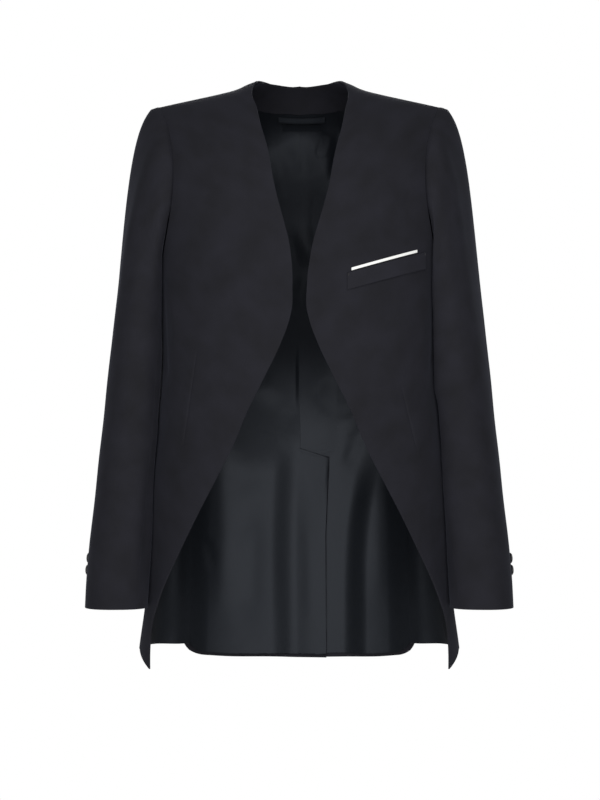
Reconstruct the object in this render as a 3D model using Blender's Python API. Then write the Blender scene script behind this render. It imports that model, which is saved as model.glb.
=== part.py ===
"""A collarless cutaway blazer, filled out as if it were worn and empty inside.

Sizes are in millimetres and are turned to metres where a mesh is made. The origin is the middle
of the neck opening, level with the points where neck and shoulder meet. +Z is up, the front
faces -Y, and the wearer's left is +X. Each cloth piece is a sheet laid on the body's or the
sleeve's form between its seams, with a wall that grows inwards.
"""

import math

import bmesh
import bpy
import numpy as np
from mathutils import Vector

MM = 0.001
HALF_TURN = math.pi
QUARTER_TURN = math.pi / 2

# Walls of the cloth, and the room between pieces
FRONT_WALL = 2.2
SHELL_WALL = 1.6
LINING_WALL = 0.9
SEAM_GAP = 0.45
LAYER_GAP = 0.45
SHOULDER_GAP = 0.2
ARM_CLEARANCE = 2.6

# The neck, the shoulders and the lengths
NECK_HALF_WIDTH = 53
SHOULDER_HALF_WIDTH = 177
FRONT_TIP = 740
FRONT_SIDE_HEM = 719
LINING_LIFT = 6
CHEST_DEPTH = 200
CHEST_RUN = 240
SHOULDER_FADE = 230


def table(columns, *rows):
    """A table of sizes, as one array for each named column."""
    return dict(zip(columns.split(), np.array(rows, float).T))


# The body at each depth under the shoulder line: half its width, and how far it reaches out
BODY = table(
    "depth half_width front back",
    (0, 186, 114, 114),
    (60, 187, 114, 114),
    (120, 187, 114, 114),
    (180, 184, 114, 113),
    (245, 176.5, 114, 110),
    (300, 174, 111, 104),
    (365, 173, 107, 98),
    (430, 178, 106, 99),
    (480, 183, 108, 104),
    (540, 188, 110, 110),
    (600, 191, 112, 114),
    (660, 195, 114, 117),
    (720, 203, 116, 119),
    (780, 208, 118, 121),
)

# The shoulder line's rise over its own level, by the distance from the centre
SHOULDER = table(
    "across rise",
    (0, 21.2),
    (20, 17.1),
    (40, 7.5),
    (50, 1.4),
    (56, -1.5),
    (62, -3.8),
    (68, -6.3),
    (75, -9.8),
    (83, -12.7),
    (98, -16.5),
    (128, -23.1),
    (159, -29.6),
    (190, -36.3),
)

# The back neck edge, by the distance from the centre
BACK_NECK = table(
    "across depth",
    (0, 19.3),
    (10, 18.4),
    (19, 15.6),
    (28.5, 11.2),
    (38, 6.4),
    (43.5, 3),
    (48, 0.8),
    (53, 0),
    (60, 0),
)

# The open front edge: the neckline, the closest place and the cutaway. Sway is how far both
# edges lie towards the wearer's left.
FRONT_EDGE = table(
    "height across sway",
    (-745, 187, 0),
    (-725, 187.4, 0),
    (-709, 187, 0),
    (-681, 184.3, 0),
    (-652, 175.8, 0),
    (-621, 162.3, 0),
    (-583, 144, 0),
    (-543, 124, 0),
    (-503, 103, 0),
    (-462, 82, 0),
    (-417, 63, 0),
    (-378, 43.4, 0),
    (-338, 23.8, 0),
    (-309, 12.8, 0),
    (-290, 8.6, 0),
    (-268, 8.7, 0.4),
    (-250, 9.3, 1),
    (-234, 11, 1.6),
    (-210, 14.9, 2.2),
    (-186, 21.4, 2.6),
    (-157, 29.5, 2.8),
    (-134, 35, 2.8),
    (-115, 38.2, 2.8),
    (-92, 43, 2.8),
    (-70, 49.3, 2.6),
    (-38, 56.5, 2),
    (-22, 60.6, 1.2),
    (-8, 58, 0.5),
    (0, 53, 0),
)

# The armhole's front and back edges above the side panel
ARMHOLE = table(
    "depth front back",
    (0, 177, 177),
    (17, 170, 173),
    (50, 161.5, 169.5),
    (90, 157, 167.5),
    (140, 157.5, 166.5),
    (190, 164, 166.5),
)

# The foot of the armhole, which is the side panel's top edge, by the turn round the body
UNDERARM = table(
    "turn depth",
    (74, 231),
    (80, 241),
    (88, 245),
    (97, 242),
    (106, 232),
    (115, 214),
)
CORNERS = {"front": 0, "back": 5}

# The seams beside the side panel, as turns round the body in degrees
SIDE_SEAMS = table(
    "depth front back",
    (200, 74, 115),
    (240, 74, 115),
    (380, 77, 120),
    (560, 80, 130),
    (780, 83, 139),
)

# The hem of the back panels, with its round corner at the side
BACK_HEM = table(
    "across depth",
    (0, 744.5),
    (54, 743.5),
    (104, 742),
    (117, 740.5),
    (127, 739),
    (135, 735.5),
    (141, 730.5),
    (146, 722),
    (160, 722),
)

# The centre back vent: its underlap is one with the wearer's right back panel
VENT_TOP = 468
VENT_SLANT = 12
VENT_EDGE = table(
    "depth across",
    (468, 0),
    (480, 38),
    (520, 36),
    (580, 33.5),
    (750, 34.5),
)
UNDERLAP_REACH = 30
UNDERLAP_FOLD = 18
VENT_MARGIN = 1

# Sleeve sections: the outermost edge, the width and the turn for each arm, and the section's
# middle and size from front to back
SLEEVE = table(
    "height outer_right outer_left wide_right wide_left middle deep turn_right turn_left",
    (-664, 268.2, 268.2, 79, 80, -45, 84, 4, 6),
    (-630, 266.8, 266.8, 80, 81, -41, 86, 4, 6),
    (-580, 262.9, 262.9, 81, 84, -33, 91, 3, 7),
    (-530, 257.9, 257.8, 80, 84, -22, 97, 3, 9),
    (-480, 253.6, 253.8, 79, 83, -11, 104, 2, 11),
    (-430, 248.4, 248.8, 78, 83, -2, 111, 2, 12),
    (-380, 243.8, 244.9, 77, 82, 5, 119, 1, 13),
    (-329, 238.1, 239.7, 73, 80, 9, 128, 1, 13),
    (-300, 234.8, 236.8, 70, 79, 10, 134, 1, 13),
    (-285, 233.0, 235.2, 69, 78, 10, 138, 1, 13),
)
SLEEVE_SQUARENESS = 2.35
SLEEVE_FOOT = -664
CAP_FOOT = -285
CAP_STEP = 10
CAP_LEAD = 0.47
CAP_CLEARING = 34
SLEEVE_GAP = 0.4
SLEEVE_RADIUS = 30
CLEAR_SOFTNESS = 3
LOG_BASE = 1.6
CLEARING_ROUNDS = 4
ARMHOLE_FOOT_TURN = 88

# How the sleeve leaves the armhole: less sideways, more to front or back, and down at its foot
HEAD_SIDEWAYS, HEAD_FORWARD, HEAD_UP, HEAD_DOWN = 0.85, 0.34, 0.06, 1.06

# Where the two sleeve seams run, from cuff (0) to head (1) to armhole (2), as turns from the
# outermost line, back side positive
SLEEVE_SEAMS = table(
    "stage hind inner",
    (0, 43, -128),
    (0.28, 58, -128),
    (0.62, 84, -128),
    (1, 104, -128),
    (2, 112, -128),
)

# The long ridge on the upper arm, by height: its turn from the outermost line, and its rise
SLEEVE_RIDGE = table(
    "height turn rise",
    (-420, -30, 0),
    (-330, -34, 1.0),
    (-250, -40, 2.4),
    (-170, -46, 3.2),
    (-90, -48, 2.6),
    (-45, -50, 0.8),
    (-30, -50, 0),
)
RIDGE_SPREAD = 15

# Long soft folds of the back lining: places across, and how far they stand off the cloth
LINING_FOLDS = table(
    "across_top across_foot top foot spread rise",
    (-60, -84, -430, -742, 24, 6.5),
    (-6, 9, -430, -742, 9, 4.5),
    (52, 101, -440, -742, 13, 7.0),
    (56, 44, -44, -130, 8, 3.5),
)
FOLD_FADE = 70

# The back neck facing's lower edge, by the distance from the centre, and the share of the
# back's width that it takes
FACING_EDGE = table(
    "across depth",
    (0, 50.5),
    (30, 42),
    (50, 30.3),
    (70, 17.5),
    (82, 7.5),
)
FACING_SHARE = 0.455
FACING_END = 0.47

# The breast welt on the wearer's left front, and the pale strip above it
WELT = {"across": 107.3, "height": -245.8, "length": 101.5, "width": 20, "slope": 15.9}
WELT_WALL = 1.5
STRIP = {"across": 104.5, "height": -232.8, "length": 85, "width": 3.4, "slope": 16.3}
STRIP_WALL = 1.0

# The hanger loop, and the blank label under it
LOOP_FROM, LOOP_TO = -28.5, 34.5
LOOP_HEIGHT = -36.6
LOOP_SAG = 1.6
LOOP_WIDTH = 8
LOOP_THICKNESS = 3.2
LOOP_GAP = 1.3
LOOP_STAND = 1.2
LABEL_FROM, LABEL_TO = -22, 29
LABEL_TOP, LABEL_FOOT = -43, -52
LABEL_GAP = 0.7
LABEL_WALL = 0.7

# The cuff buttons: two on each sleeve, beside the hind seam
BUTTON_STAGES = (0.157, 0.118)
BUTTON_DIAMETER = 13.5
BUTTON_THICKNESS = 3.6
BUTTON_TURN = 26
BUTTON_EDGE = 1.1
BUTTON_SIDES = 24
FLAT_RIM = 0.01
CREASE_ANGLE = math.radians(40)

FRONT_SQUARENESS = 2.4
BACK_SQUARENESS = 2.6
FRONT_CROWN = 2.1
BACK_CROWN = 2.5
FINE = 90

# Steps and rounds with which places and directions on a form are found
RUN_STEP = 0.5
TURN_STEP = 0.01
STAGE_STEP = 0.02
DEPTH_MARGIN = 0.01
FITTING_ROUNDS = 12

# How finely the panels are divided
TOP_ROW = 0.996
FRONT_LEVELS = np.concatenate((np.linspace(0, 1, 29)[:-1], (TOP_ROW, 1)))
FRONT_COLUMNS = 12
BACK_ROWS = 25
NECK_COLUMNS, SHOULDER_COLUMNS, SHOULDER_SHARE = 6, 6, 0.86
SIDE_SHARES = (0.91, 0.955, 1)
SIDE_LEVELS = np.linspace(0, 1, 17)
SIDE_COLUMNS = 6
TUBE_ROWS, CAP_ROWS = 13, 9
TOP_SLEEVE_COLUMNS, UNDER_SLEEVE_COLUMNS = 14, 7
LINING_LEVEL = 0.8
LINING_COLUMNS = 13
LINING_TOP_ROWS = 6
LINING_INSET = SHELL_WALL + 2 * LAYER_GAP
LINING_MIDDLE, LINING_SIDE = 0.001, 0.995
LINING_PAST = 1.2
FACING_GAP = 2.4
SIDE_LINING_FOOT, SIDE_LINING_TOP = 0.19, 0.06
FACING_COLUMNS, FACING_ROWS = 9, 4
LABEL_COLUMNS, LABEL_ROWS = 8, 2
BAND_COLUMNS, BAND_ROWS = 12, 2
LOOP_POINTS, LOOP_SIDES = 13, 10


def smooth(at, knots, values):
    """A smooth curve through a table's rows, read where asked."""
    at = np.clip(np.asarray(at, float), knots[0], knots[-1])
    slopes = np.gradient(values, knots)
    step = np.clip(np.searchsorted(knots, at, side="right") - 1, 0, len(knots) - 2)
    span = knots[step + 1] - knots[step]
    t = (at - knots[step]) / span
    ends = (1 + 2 * t) * (1 - t) ** 2 * values[step] + t * t * (3 - 2 * t) * values[step + 1]
    leads = t * (1 - t) ** 2 * slopes[step] + t * t * (t - 1) * slopes[step + 1]
    return ends + span * leads


def ease(t):
    """Runs from 0 to 1 with level ends."""
    t = np.clip(t, 0, 1)
    return t * t * (3 - 2 * t)


def unit(vectors):
    return vectors / np.linalg.norm(vectors, axis=-1, keepdims=True)


def depth_of(run):
    """Depth under the shoulder line, from the length of cloth run over the shoulder."""
    lean = np.clip(run / CHEST_RUN, 0, 1) * QUARTER_TURN
    crest = CHEST_DEPTH * (1 - np.cos(lean) ** (2 / BACK_CROWN))
    return np.where(run < CHEST_RUN, crest, CHEST_DEPTH + run - CHEST_RUN)


def run_of(depth):
    share = np.clip(1 - np.asarray(depth, float) / CHEST_DEPTH, 0, 1)
    lean = np.arccos(share ** (BACK_CROWN / 2))
    return np.where(
        np.asarray(depth) < CHEST_DEPTH, lean / QUARTER_TURN * CHEST_RUN, depth - CHEST_DEPTH + CHEST_RUN
    )


def half_width(depth):
    return smooth(depth, BODY["depth"], BODY["half_width"])


def reach(depth, is_back):
    """How far the body stands out from the shoulder line, nothing at the line itself."""
    full = smooth(depth, BODY["depth"], np.where(is_back, BODY["back"], BODY["front"]))
    crown = BACK_CROWN if is_back else FRONT_CROWN
    share = np.clip(1 - depth / CHEST_DEPTH, 0, 1)
    return full * (1 - share**crown) ** (1 / crown) + SHOULDER_GAP


def lift(across, depth):
    rise = smooth(np.abs(across), SHOULDER["across"], SHOULDER["rise"])
    return rise * (1 - ease(depth / SHOULDER_FADE))


def body(turn, depth):
    """Points on the outer face: turn is 0 at the front centre, pi at the back centre."""
    turn, depth = np.broadcast_arrays(np.asarray(turn, float), np.asarray(depth, float))
    is_back = turn > QUARTER_TURN
    power = 2 / np.where(is_back, BACK_SQUARENESS, FRONT_SQUARENESS)
    sine, cosine = np.sin(turn), np.cos(turn)
    across = half_width(depth) * np.sign(sine) * np.abs(sine) ** power
    out = np.where(is_back, reach(depth, True), reach(depth, False)) * np.abs(cosine) ** power
    out = np.maximum(out, SHOULDER_GAP * (1 - ease(depth / SHOULDER_FADE)))
    return np.stack((across, np.where(is_back, out, -out), lift(across, depth) - depth), -1)


def inward(turn, depth):
    """The direction from the outer face into the body."""
    run = run_of(depth)
    along = body(turn + TURN_STEP, depth) - body(turn - TURN_STEP, depth)
    above, below = depth_of(np.maximum(run - RUN_STEP, 0)), depth_of(run + RUN_STEP)
    down = body(turn, below) - body(turn, above)
    return unit(np.cross(along, down))


def turn_at(across, depth, is_back):
    """The turn round the body of a place this far from the centre."""
    squareness = BACK_SQUARENESS if is_back else FRONT_SQUARENESS
    share = np.clip(np.abs(across) / half_width(depth), 0, 1)
    turn = np.sign(across) * np.arcsin(share ** (squareness / 2))
    return HALF_TURN - turn if is_back else turn


def depth_at(across, height):
    """The depth under the shoulder line of a place seen at this height."""
    depth = -height
    for _ in range(FITTING_ROUNDS):
        depth = np.maximum(lift(across, depth) - height, 0)
    return depth


def edge_across(depth, side):
    """The open front edge's distance from the centre, on one side."""
    across = NECK_HALF_WIDTH
    for _ in range(FITTING_ROUNDS):
        height = lift(across, depth) - depth
        across = smooth(height, FRONT_EDGE["height"], FRONT_EDGE["across"])
    sway = smooth(height, FRONT_EDGE["height"], FRONT_EDGE["sway"])
    return across + side * sway


def seam_turn(depth, name):
    return np.radians(smooth(depth, SIDE_SEAMS["depth"], SIDE_SEAMS[name]))


def outer_turn(depth, name):
    """The armhole above the side panel's top corner, and the side seam below it."""
    foot = UNDERARM["depth"][CORNERS[name]]
    foot_turn = math.radians(UNDERARM["turn"][CORNERS[name]])
    if depth >= foot:
        return float(seam_turn(depth, name))
    depths = np.append(ARMHOLE["depth"], foot)
    places = np.append(ARMHOLE[name], body(foot_turn, foot)[0])
    return float(turn_at(smooth(depth, depths, places), depth, name == "back"))


def path_run(points):
    """The length of cloth run at each point of a path."""
    return np.append(0, np.cumsum(np.linalg.norm(np.diff(points, axis=0), axis=1)))


def row(first, last, depths, shares):
    """Turns between two seams, parted evenly along the cloth, half a seam gap in from each."""
    fine = np.linspace(first, last, FINE)
    run = path_run(body(fine, depths.mean()))
    return np.interp(SEAM_GAP / 2 + shares * (run[-1] - SEAM_GAP), run, fine)


def rows_between(top, foot, levels):
    """The depths along a panel's rows, from foot to top, so that both outlines are followed."""
    run_top, run_foot = run_of(top), run_of(foot)
    return [depth_of(run_foot + level * (run_top - run_foot)) for level in levels]


def sheet(turns, depths):
    """Two layers for each point: its place on the outer face, and the way into the body."""
    return np.stack((body(turns, depths), inward(turns, depths)))


def moved_in(layers, by):
    return np.stack((layers[0] + np.asarray(by)[..., None] * layers[1], layers[1]))


def front_sheet(side):
    shares = np.linspace(0, 1, FRONT_COLUMNS + 1)
    foot = FRONT_TIP + (FRONT_SIDE_HEM - FRONT_TIP) * shares
    found = []
    for depths in rows_between(0 * shares, foot, FRONT_LEVELS):
        first = float(turn_at(edge_across(depths[0], side), depths[0], False))
        found.append(sheet(row(first, outer_turn(depths[-1], "front"), depths, shares), depths))
    return np.stack(found, 1)


def back_shares():
    """Columns of a back panel: even over the neck, then the shoulder, finer by the side."""
    neck = NECK_HALF_WIDTH / SHOULDER_HALF_WIDTH
    shoulder = np.linspace(neck, SHOULDER_SHARE, SHOULDER_COLUMNS)
    return np.concatenate((np.linspace(0, neck, NECK_COLUMNS), shoulder[1:], SIDE_SHARES))


def back_top(share):
    """The back neck edge's depth, nothing along the shoulder seam."""
    return smooth(SHOULDER_HALF_WIDTH * share, BACK_NECK["across"], BACK_NECK["depth"])


def back_foot(share):
    """The back hem's depth: the last column meets the side panel's hem."""
    return smooth(share * BACK_HEM["across"][-2], BACK_HEM["across"], BACK_HEM["depth"])


def vent_place(depth):
    """How far past the centre the underlap's edge lies."""
    return np.interp(depth, VENT_EDGE["depth"], VENT_EDGE["across"])


def back_levels():
    """Even levels from hem to top, with rows at both ends of the vent's slanted top."""
    run_foot, run_top = run_of(BACK_HEM["depth"][0]), run_of(BACK_NECK["depth"][0])
    vent_foot = (run_foot - run_of(VENT_TOP + VENT_SLANT)) / (run_foot - run_top)
    vent_top = (run_foot - run_of(VENT_TOP)) / (run_foot - run_top)
    below = round(BACK_ROWS * vent_foot)
    lower = np.linspace(0, vent_foot, below + 1)
    upper = np.linspace(vent_top, 1, BACK_ROWS - below)
    return np.concatenate((lower, upper[:-1], (TOP_ROW, 1)))


def back_sheet(with_underlap):
    shares = back_shares()
    found = []
    for depths in rows_between(back_top(shares), back_foot(shares), back_levels()):
        past = vent_place(depths[0]) if with_underlap else 0
        first = float(turn_at(-past, depths[0], True))
        layers = sheet(row(first, outer_turn(depths[-1], "back"), depths, shares), depths)
        if with_underlap and depths[0] >= VENT_TOP - VENT_MARGIN:
            under = ease((UNDERLAP_REACH - layers[0, :, 0]) / UNDERLAP_FOLD)
            layers = moved_in(layers, under * LINING_INSET)
        found.append(layers)
    return np.stack(found, 1)[:, :, ::-1]


def side_sheet():
    shares = np.linspace(0, 1, SIDE_COLUMNS + 1)
    turns_top = UNDERARM["turn"][0] + shares * (UNDERARM["turn"][-1] - UNDERARM["turn"][0])
    top = smooth(turns_top, UNDERARM["turn"], UNDERARM["depth"])
    foot = FRONT_SIDE_HEM + (BACK_HEM["depth"][-1] - FRONT_SIDE_HEM) * shares
    found = []
    for depths in rows_between(top, foot, SIDE_LEVELS):
        first, last = seam_turn(depths[0], "front"), seam_turn(depths[-1], "back")
        found.append(sheet(row(float(first), float(last), depths, shares), depths))
    return np.stack(found, 1)


SHEETS = {}


def panel(name, arm):
    """A body panel's sheet, kept for the pieces that lie inside it."""
    if (name, arm) not in SHEETS:
        if name == "front":
            SHEETS[name, arm] = front_sheet(1 if arm == "left" else -1)
        elif name == "back":
            SHEETS[name, arm] = back_sheet(arm == "right")
        else:
            SHEETS[name, arm] = side_sheet()
    return SHEETS[name, arm]


def inside(layers, rows, columns, by):
    """Places on a panel, moved in by this much: rows and columns count its own, in parts."""
    rows, columns = np.broadcast_arrays(np.asarray(rows, float), np.asarray(columns, float))
    low = np.clip(np.floor(rows).astype(int), 0, layers.shape[1] - 2)
    left = np.clip(np.floor(columns).astype(int), 0, layers.shape[2] - 2)
    up, across = (rows - low)[..., None], (columns - left)[..., None]
    foot = layers[:, low, left] * (1 - across) + layers[:, low, left + 1] * across
    top = layers[:, low + 1, left] * (1 - across) + layers[:, low + 1, left + 1] * across
    points, ways = foot * (1 - up) + top * up
    return moved_in(np.stack((points, unit(ways))), by)


def back_row_at(share, run):
    """The back panel's row, in parts, at this run of cloth on the column of this share."""
    run_foot, run_top = run_of(back_foot(share)), run_of(back_top(share))
    levels = back_levels()
    return np.interp((run_foot - run) / (run_foot - run_top), levels, np.arange(len(levels)))


def back_column_at(share):
    last = len(back_shares()) - 1
    return last - np.interp(share, back_shares(), np.arange(last + 1))


def back_share_at(across, depth):
    """The share of the back's width that lies within this distance of the centre."""
    path = body(np.linspace(HALF_TURN, outer_turn(depth, "back"), FINE), depth)
    run = path_run(path)
    return np.interp(across, path[:, 0], run / run[-1])


def fold_rise(points):
    """How far the lining stands off the cloth at these points."""
    rise = np.zeros(points.shape[:-1])
    for across_top, across_foot, top, foot, spread, height in zip(*LINING_FOLDS.values()):
        share = (top - points[..., 2]) / (top - foot)
        middle = across_top + share * (across_foot - across_top)
        fade = min(FOLD_FADE, (top - foot) / 2)
        ends = ease((top - points[..., 2]) / fade)
        if foot > -VENT_TOP:
            ends = ends * ease((points[..., 2] - foot) / fade)
        rise += height * ends * np.exp(-(((points[..., 0] - middle) / spread) ** 2))
    return rise


def facing_run(share):
    """The run of cloth at the back neck facing's lower edge, nothing beyond its end."""
    depth = smooth(SHOULDER_HALF_WIDTH * share, FACING_EDGE["across"], FACING_EDGE["depth"])
    return run_of(np.where(share < FACING_END, depth, 0))


def lining_sheet(arm):
    """A back lining panel. The right one covers the underlap, the left one starts beside it."""
    side = 1 if arm == "left" else -1
    layers, levels = panel("back", arm), back_levels()
    runs = run_of(BACK_HEM["depth"][0]) * (1 - levels) + run_of(BACK_NECK["depth"][0]) * levels
    kept = np.nonzero(levels < LINING_LEVEL)[0]
    upper = kept[-1] + np.arange(1, LINING_TOP_ROWS + 1) / LINING_TOP_ROWS
    shares = np.linspace(LINING_MIDDLE, LINING_SIDE, LINING_COLUMNS + 1)
    found = []
    for number in (*kept, *upper):
        past = 0.0
        if side > 0 and number < kept[-1]:
            depth = float(depth_of(runs[int(number)]))
            vent = vent_place(depth)
            past = back_share_at(vent + LINING_PAST * (vent > 0), depth)
        share = past + shares * (1 - past)
        rows = np.full(share.shape, float(number))
        if number == 0:
            rows = back_row_at(share, run_of(back_foot(share) - LINING_LIFT))
        if number > kept[-1]:
            top = back_row_at(share, facing_run(share) + FACING_GAP)
            rows = kept[-1] + (number - kept[-1]) * (top - kept[-1])
        columns = back_column_at(share)
        place = inside(layers, rows, columns, 0.0)[0] * (side, 1, 1)
        found.append(inside(layers, rows, columns, LINING_INSET + fold_rise(place)))
    return np.stack(found, 1)[:, :, ::-1]


def side_lining_sheet(arm):
    layers = panel("side", arm)
    rows = np.arange(layers.shape[1], dtype=float)
    rows[0], rows[-1] = SIDE_LINING_FOOT, rows[-1] - SIDE_LINING_TOP
    columns = np.arange(layers.shape[2], dtype=float)
    columns[0], columns[-1] = SIDE_LINING_TOP, columns[-1] - SIDE_LINING_TOP
    return inside(layers, *np.meshgrid(rows, columns, indexing="ij"), LINING_INSET)


def facing_sheet():
    """The back neck facing, from shoulder seam to shoulder seam, inside the back panels."""
    half = np.linspace(FACING_SHARE, 0, FACING_COLUMNS + 1)
    run_low, run_top = facing_run(half), run_of(back_top(half))
    halves = []
    for arm, side in (("left", 1), ("right", -1)):
        found = []
        for level in np.linspace(0, 1, FACING_ROWS + 1):
            rows = back_row_at(half, run_low + level * (run_top - run_low))
            found.append(inside(panel("back", arm), rows, back_column_at(half), LINING_INSET))
        halves.append(np.stack(found, 1) * (side, 1, 1))
    left, right = halves
    middle = (left[:, :, -1:] + right[:, :, -1:]) / 2
    return np.concatenate((left[:, :, :-1], middle, right[:, :, -2::-1]), axis=2)


def on_lining(across, height, by):
    """A place on the back lining, by distance from the centre, moved in from it."""
    arm, side = ("left", 1) if across >= 0 else ("right", -1)
    depth = depth_at(across, height)
    share = back_share_at(abs(across), depth)
    rows, columns = back_row_at(share, run_of(depth)), back_column_at(share)
    return inside(panel("back", arm), rows, columns, LINING_INSET + LINING_WALL + by) * (side, 1, 1)


def label_sheet():
    """The blank label, flat on the lining under the loop."""
    places = np.linspace(LABEL_TO, LABEL_FROM, LABEL_COLUMNS + 1)
    found = [
        np.stack([on_lining(place, height, LABEL_GAP) for place in places], 1)
        for height in np.linspace(LABEL_FOOT, LABEL_TOP, LABEL_ROWS + 1)
    ]
    return np.stack(found, 1)


def band_sheet(shape, wall):
    """A slanted band on the front, made from the front's own points moved out."""
    slope = math.radians(shape["slope"])
    along = np.linspace(-0.5, 0.5, BAND_COLUMNS + 1) * shape["length"] * math.cos(slope)
    across = shape["across"] + along
    found = []
    for low in np.linspace(-0.5, 0.5, BAND_ROWS + 1) * shape["width"] / math.cos(slope):
        depth = depth_at(across, shape["height"] + along * math.tan(slope) + low)
        found.append(moved_in(sheet(turn_at(across, depth, False), depth), -wall - LAYER_GAP))
    return np.stack(found, 1)


def armhole_path(name):
    """The armhole's edge from the shoulder down to the foot under the arm."""
    corner = CORNERS[name]
    foot = UNDERARM["depth"][corner]
    depths = depth_of(np.linspace(0, run_of(foot), FINE))
    upper = [body(outer_turn(min(depth, foot - DEPTH_MARGIN), name), depth) for depth in depths]
    turns = np.linspace(UNDERARM["turn"][corner], ARMHOLE_FOOT_TURN, FINE)[1:]
    lower = body(np.radians(turns), smooth(turns, UNDERARM["turn"], UNDERARM["depth"]))
    path = np.concatenate((np.array(upper), lower))
    run = path_run(path)
    return path, run / run[-1]


ARMHOLE_PATHS = {name: armhole_path(name) for name in CORNERS}


def armhole(share, name):
    path, run = ARMHOLE_PATHS[name]
    return np.stack([np.interp(share, run, path[:, axis]) for axis in range(3)], -1)


def section(angles, height, arm):
    """Points of the sleeve's section: angle 0 is outermost, and the back side is positive."""
    sizes = {name: smooth(height, SLEEVE["height"], SLEEVE[name]) for name in SLEEVE}
    power = 2 / SLEEVE_SQUARENESS
    lean = np.radians(sizes[f"turn_{arm}"])

    def place(at):
        wide = sizes[f"wide_{arm}"] / 2 * np.sign(np.cos(at)) * np.abs(np.cos(at)) ** power
        deep = sizes["deep"] / 2 * np.sign(np.sin(at)) * np.abs(np.sin(at)) ** power
        return wide * np.cos(lean) + deep * np.sin(lean), deep * np.cos(lean) - wide * np.sin(lean)

    rim, _ = place(np.linspace(-HALF_TURN, HALF_TURN, FINE))
    across, out = place(angles)
    across = across + sizes[f"outer_{arm}"] - rim.max()
    return np.stack((across, sizes["middle"] + out, height + 0 * across), -1)


def clear_of_body(points, clearance):
    """Moves points out to the side until they clear the body by this much."""
    depth = np.maximum(-points[..., 2], 0)
    for _ in range(CLEARING_ROUNDS):
        depth = np.maximum(lift(points[..., 0], depth) - points[..., 2], 0)
    is_back = points[..., 1] > 0
    out = np.where(is_back, reach(depth, True), reach(depth, False)) + clearance
    square = np.where(is_back, BACK_SQUARENESS, FRONT_SQUARENESS)
    share = np.clip(1 - (np.abs(points[..., 1]) / out) ** square, 0, 1)
    least = (half_width(depth) + clearance) * share ** (1 / square)
    over = (points[..., 0] - least) / CLEAR_SOFTNESS
    across = least + CLEAR_SOFTNESS * np.logaddexp(0, over * LOG_BASE) / LOG_BASE
    return np.concatenate((across[..., None], points[..., 1:]), -1)


def armhole_ways(angles):
    """The direction in which the sleeve leaves the armhole, all round it."""
    low = (1 - np.cos(angles)) / 2
    sideways = 1 - HEAD_SIDEWAYS * low**2
    return unit(np.stack((sideways, HEAD_FORWARD * np.sin(angles), HEAD_UP - HEAD_DOWN * low**3), -1))


def cap(angles, level, arm):
    """Points of the sleeve head, from the section under it at 0 to the armhole at 1."""
    foot = section(angles, CAP_FOOT, arm)
    lead_foot = (foot - section(angles, CAP_FOOT - CAP_STEP, arm)) / CAP_STEP
    share = np.abs(angles) / HALF_TURN
    head = np.where((np.sin(angles) >= 0)[:, None], armhole(share, "back"), armhole(share, "front"))
    ways = armhole_ways(angles)
    head = head + SLEEVE_GAP * ways
    far = np.linalg.norm(head - foot, axis=1, keepdims=True)
    t = level
    points = (
        (1 + 2 * t) * (1 - t) ** 2 * foot
        + t * (1 - t) ** 2 * lead_foot * far
        + t * t * (3 - 2 * t) * head
        - t * t * (t - 1) * CAP_LEAD * ways * far
    )
    near = ease((1 - t) * far[:, 0] / CAP_CLEARING)
    return clear_of_body(points, SLEEVE_GAP + near * (ARM_CLEARANCE - SLEEVE_GAP))


def sleeve(angles, stage, arm):
    """Points of the sleeve: stage is 0 at the cuff, 1 under the head and 2 at the armhole."""
    angles = (angles + HALF_TURN) % (2 * HALF_TURN) - HALF_TURN
    if stage <= 1:
        height = SLEEVE_FOOT + stage * (CAP_FOOT - SLEEVE_FOOT)
        points = clear_of_body(section(angles, height, arm), ARM_CLEARANCE)
    else:
        points = cap(angles, stage - 1, arm)
    turn = smooth(points[:, 2], SLEEVE_RIDGE["height"], SLEEVE_RIDGE["turn"])
    rise = smooth(points[:, 2], SLEEVE_RIDGE["height"], SLEEVE_RIDGE["rise"])
    rise = rise * np.exp(-(((np.degrees(angles) - turn) / RIDGE_SPREAD) ** 2))
    away = np.stack((np.cos(np.radians(turn)), np.sin(np.radians(turn)), 0 * turn), -1)
    return points + rise[:, None] * away


def sleeve_layers(angles, stage, arm):
    """The sleeve's outer face and the way in from it."""
    round_it = sleeve(angles + STAGE_STEP, stage, arm) - sleeve(angles - STAGE_STEP, stage, arm)
    above, below = min(stage + STAGE_STEP, 2), max(stage - STAGE_STEP, 0)
    up = sleeve(angles, above, arm) - sleeve(angles, below, arm)
    return np.stack((sleeve(angles, stage, arm), unit(np.cross(up, round_it))))


def sleeve_sheet(arm, is_top):
    """The top or under sleeve, between the hind seam and the inner seam."""
    shares = np.linspace(0, 1, (TOP_SLEEVE_COLUMNS if is_top else UNDER_SLEEVE_COLUMNS) + 1)
    tube, head = np.linspace(0, 1, TUBE_ROWS + 1), np.linspace(1, 2, CAP_ROWS + 1)[1:]
    found = []
    for stage in (*tube, *head):
        hind = np.radians(smooth(stage, SLEEVE_SEAMS["stage"], SLEEVE_SEAMS["hind"]))
        inner = np.radians(smooth(stage, SLEEVE_SEAMS["stage"], SLEEVE_SEAMS["inner"]))
        first, last = (inner, hind) if is_top else (hind, inner + 2 * HALF_TURN)
        inset = SEAM_GAP / 2 / SLEEVE_RADIUS
        angles = first + inset + shares * (last - first - 2 * inset)
        found.append(sleeve_layers(angles, stage, arm))
    return np.stack(found, 1)


def material(name, colour, roughness):
    """The plain finish of a sub-part."""
    made = bpy.data.materials.new(name)
    made.use_nodes = True
    shader = made.node_tree.nodes["Principled BSDF"]
    shader.inputs["Base Color"].default_value = (*colour, 1)
    shader.inputs["Roughness"].default_value = roughness
    shader.inputs["Metallic"].default_value = 0
    return made


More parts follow.
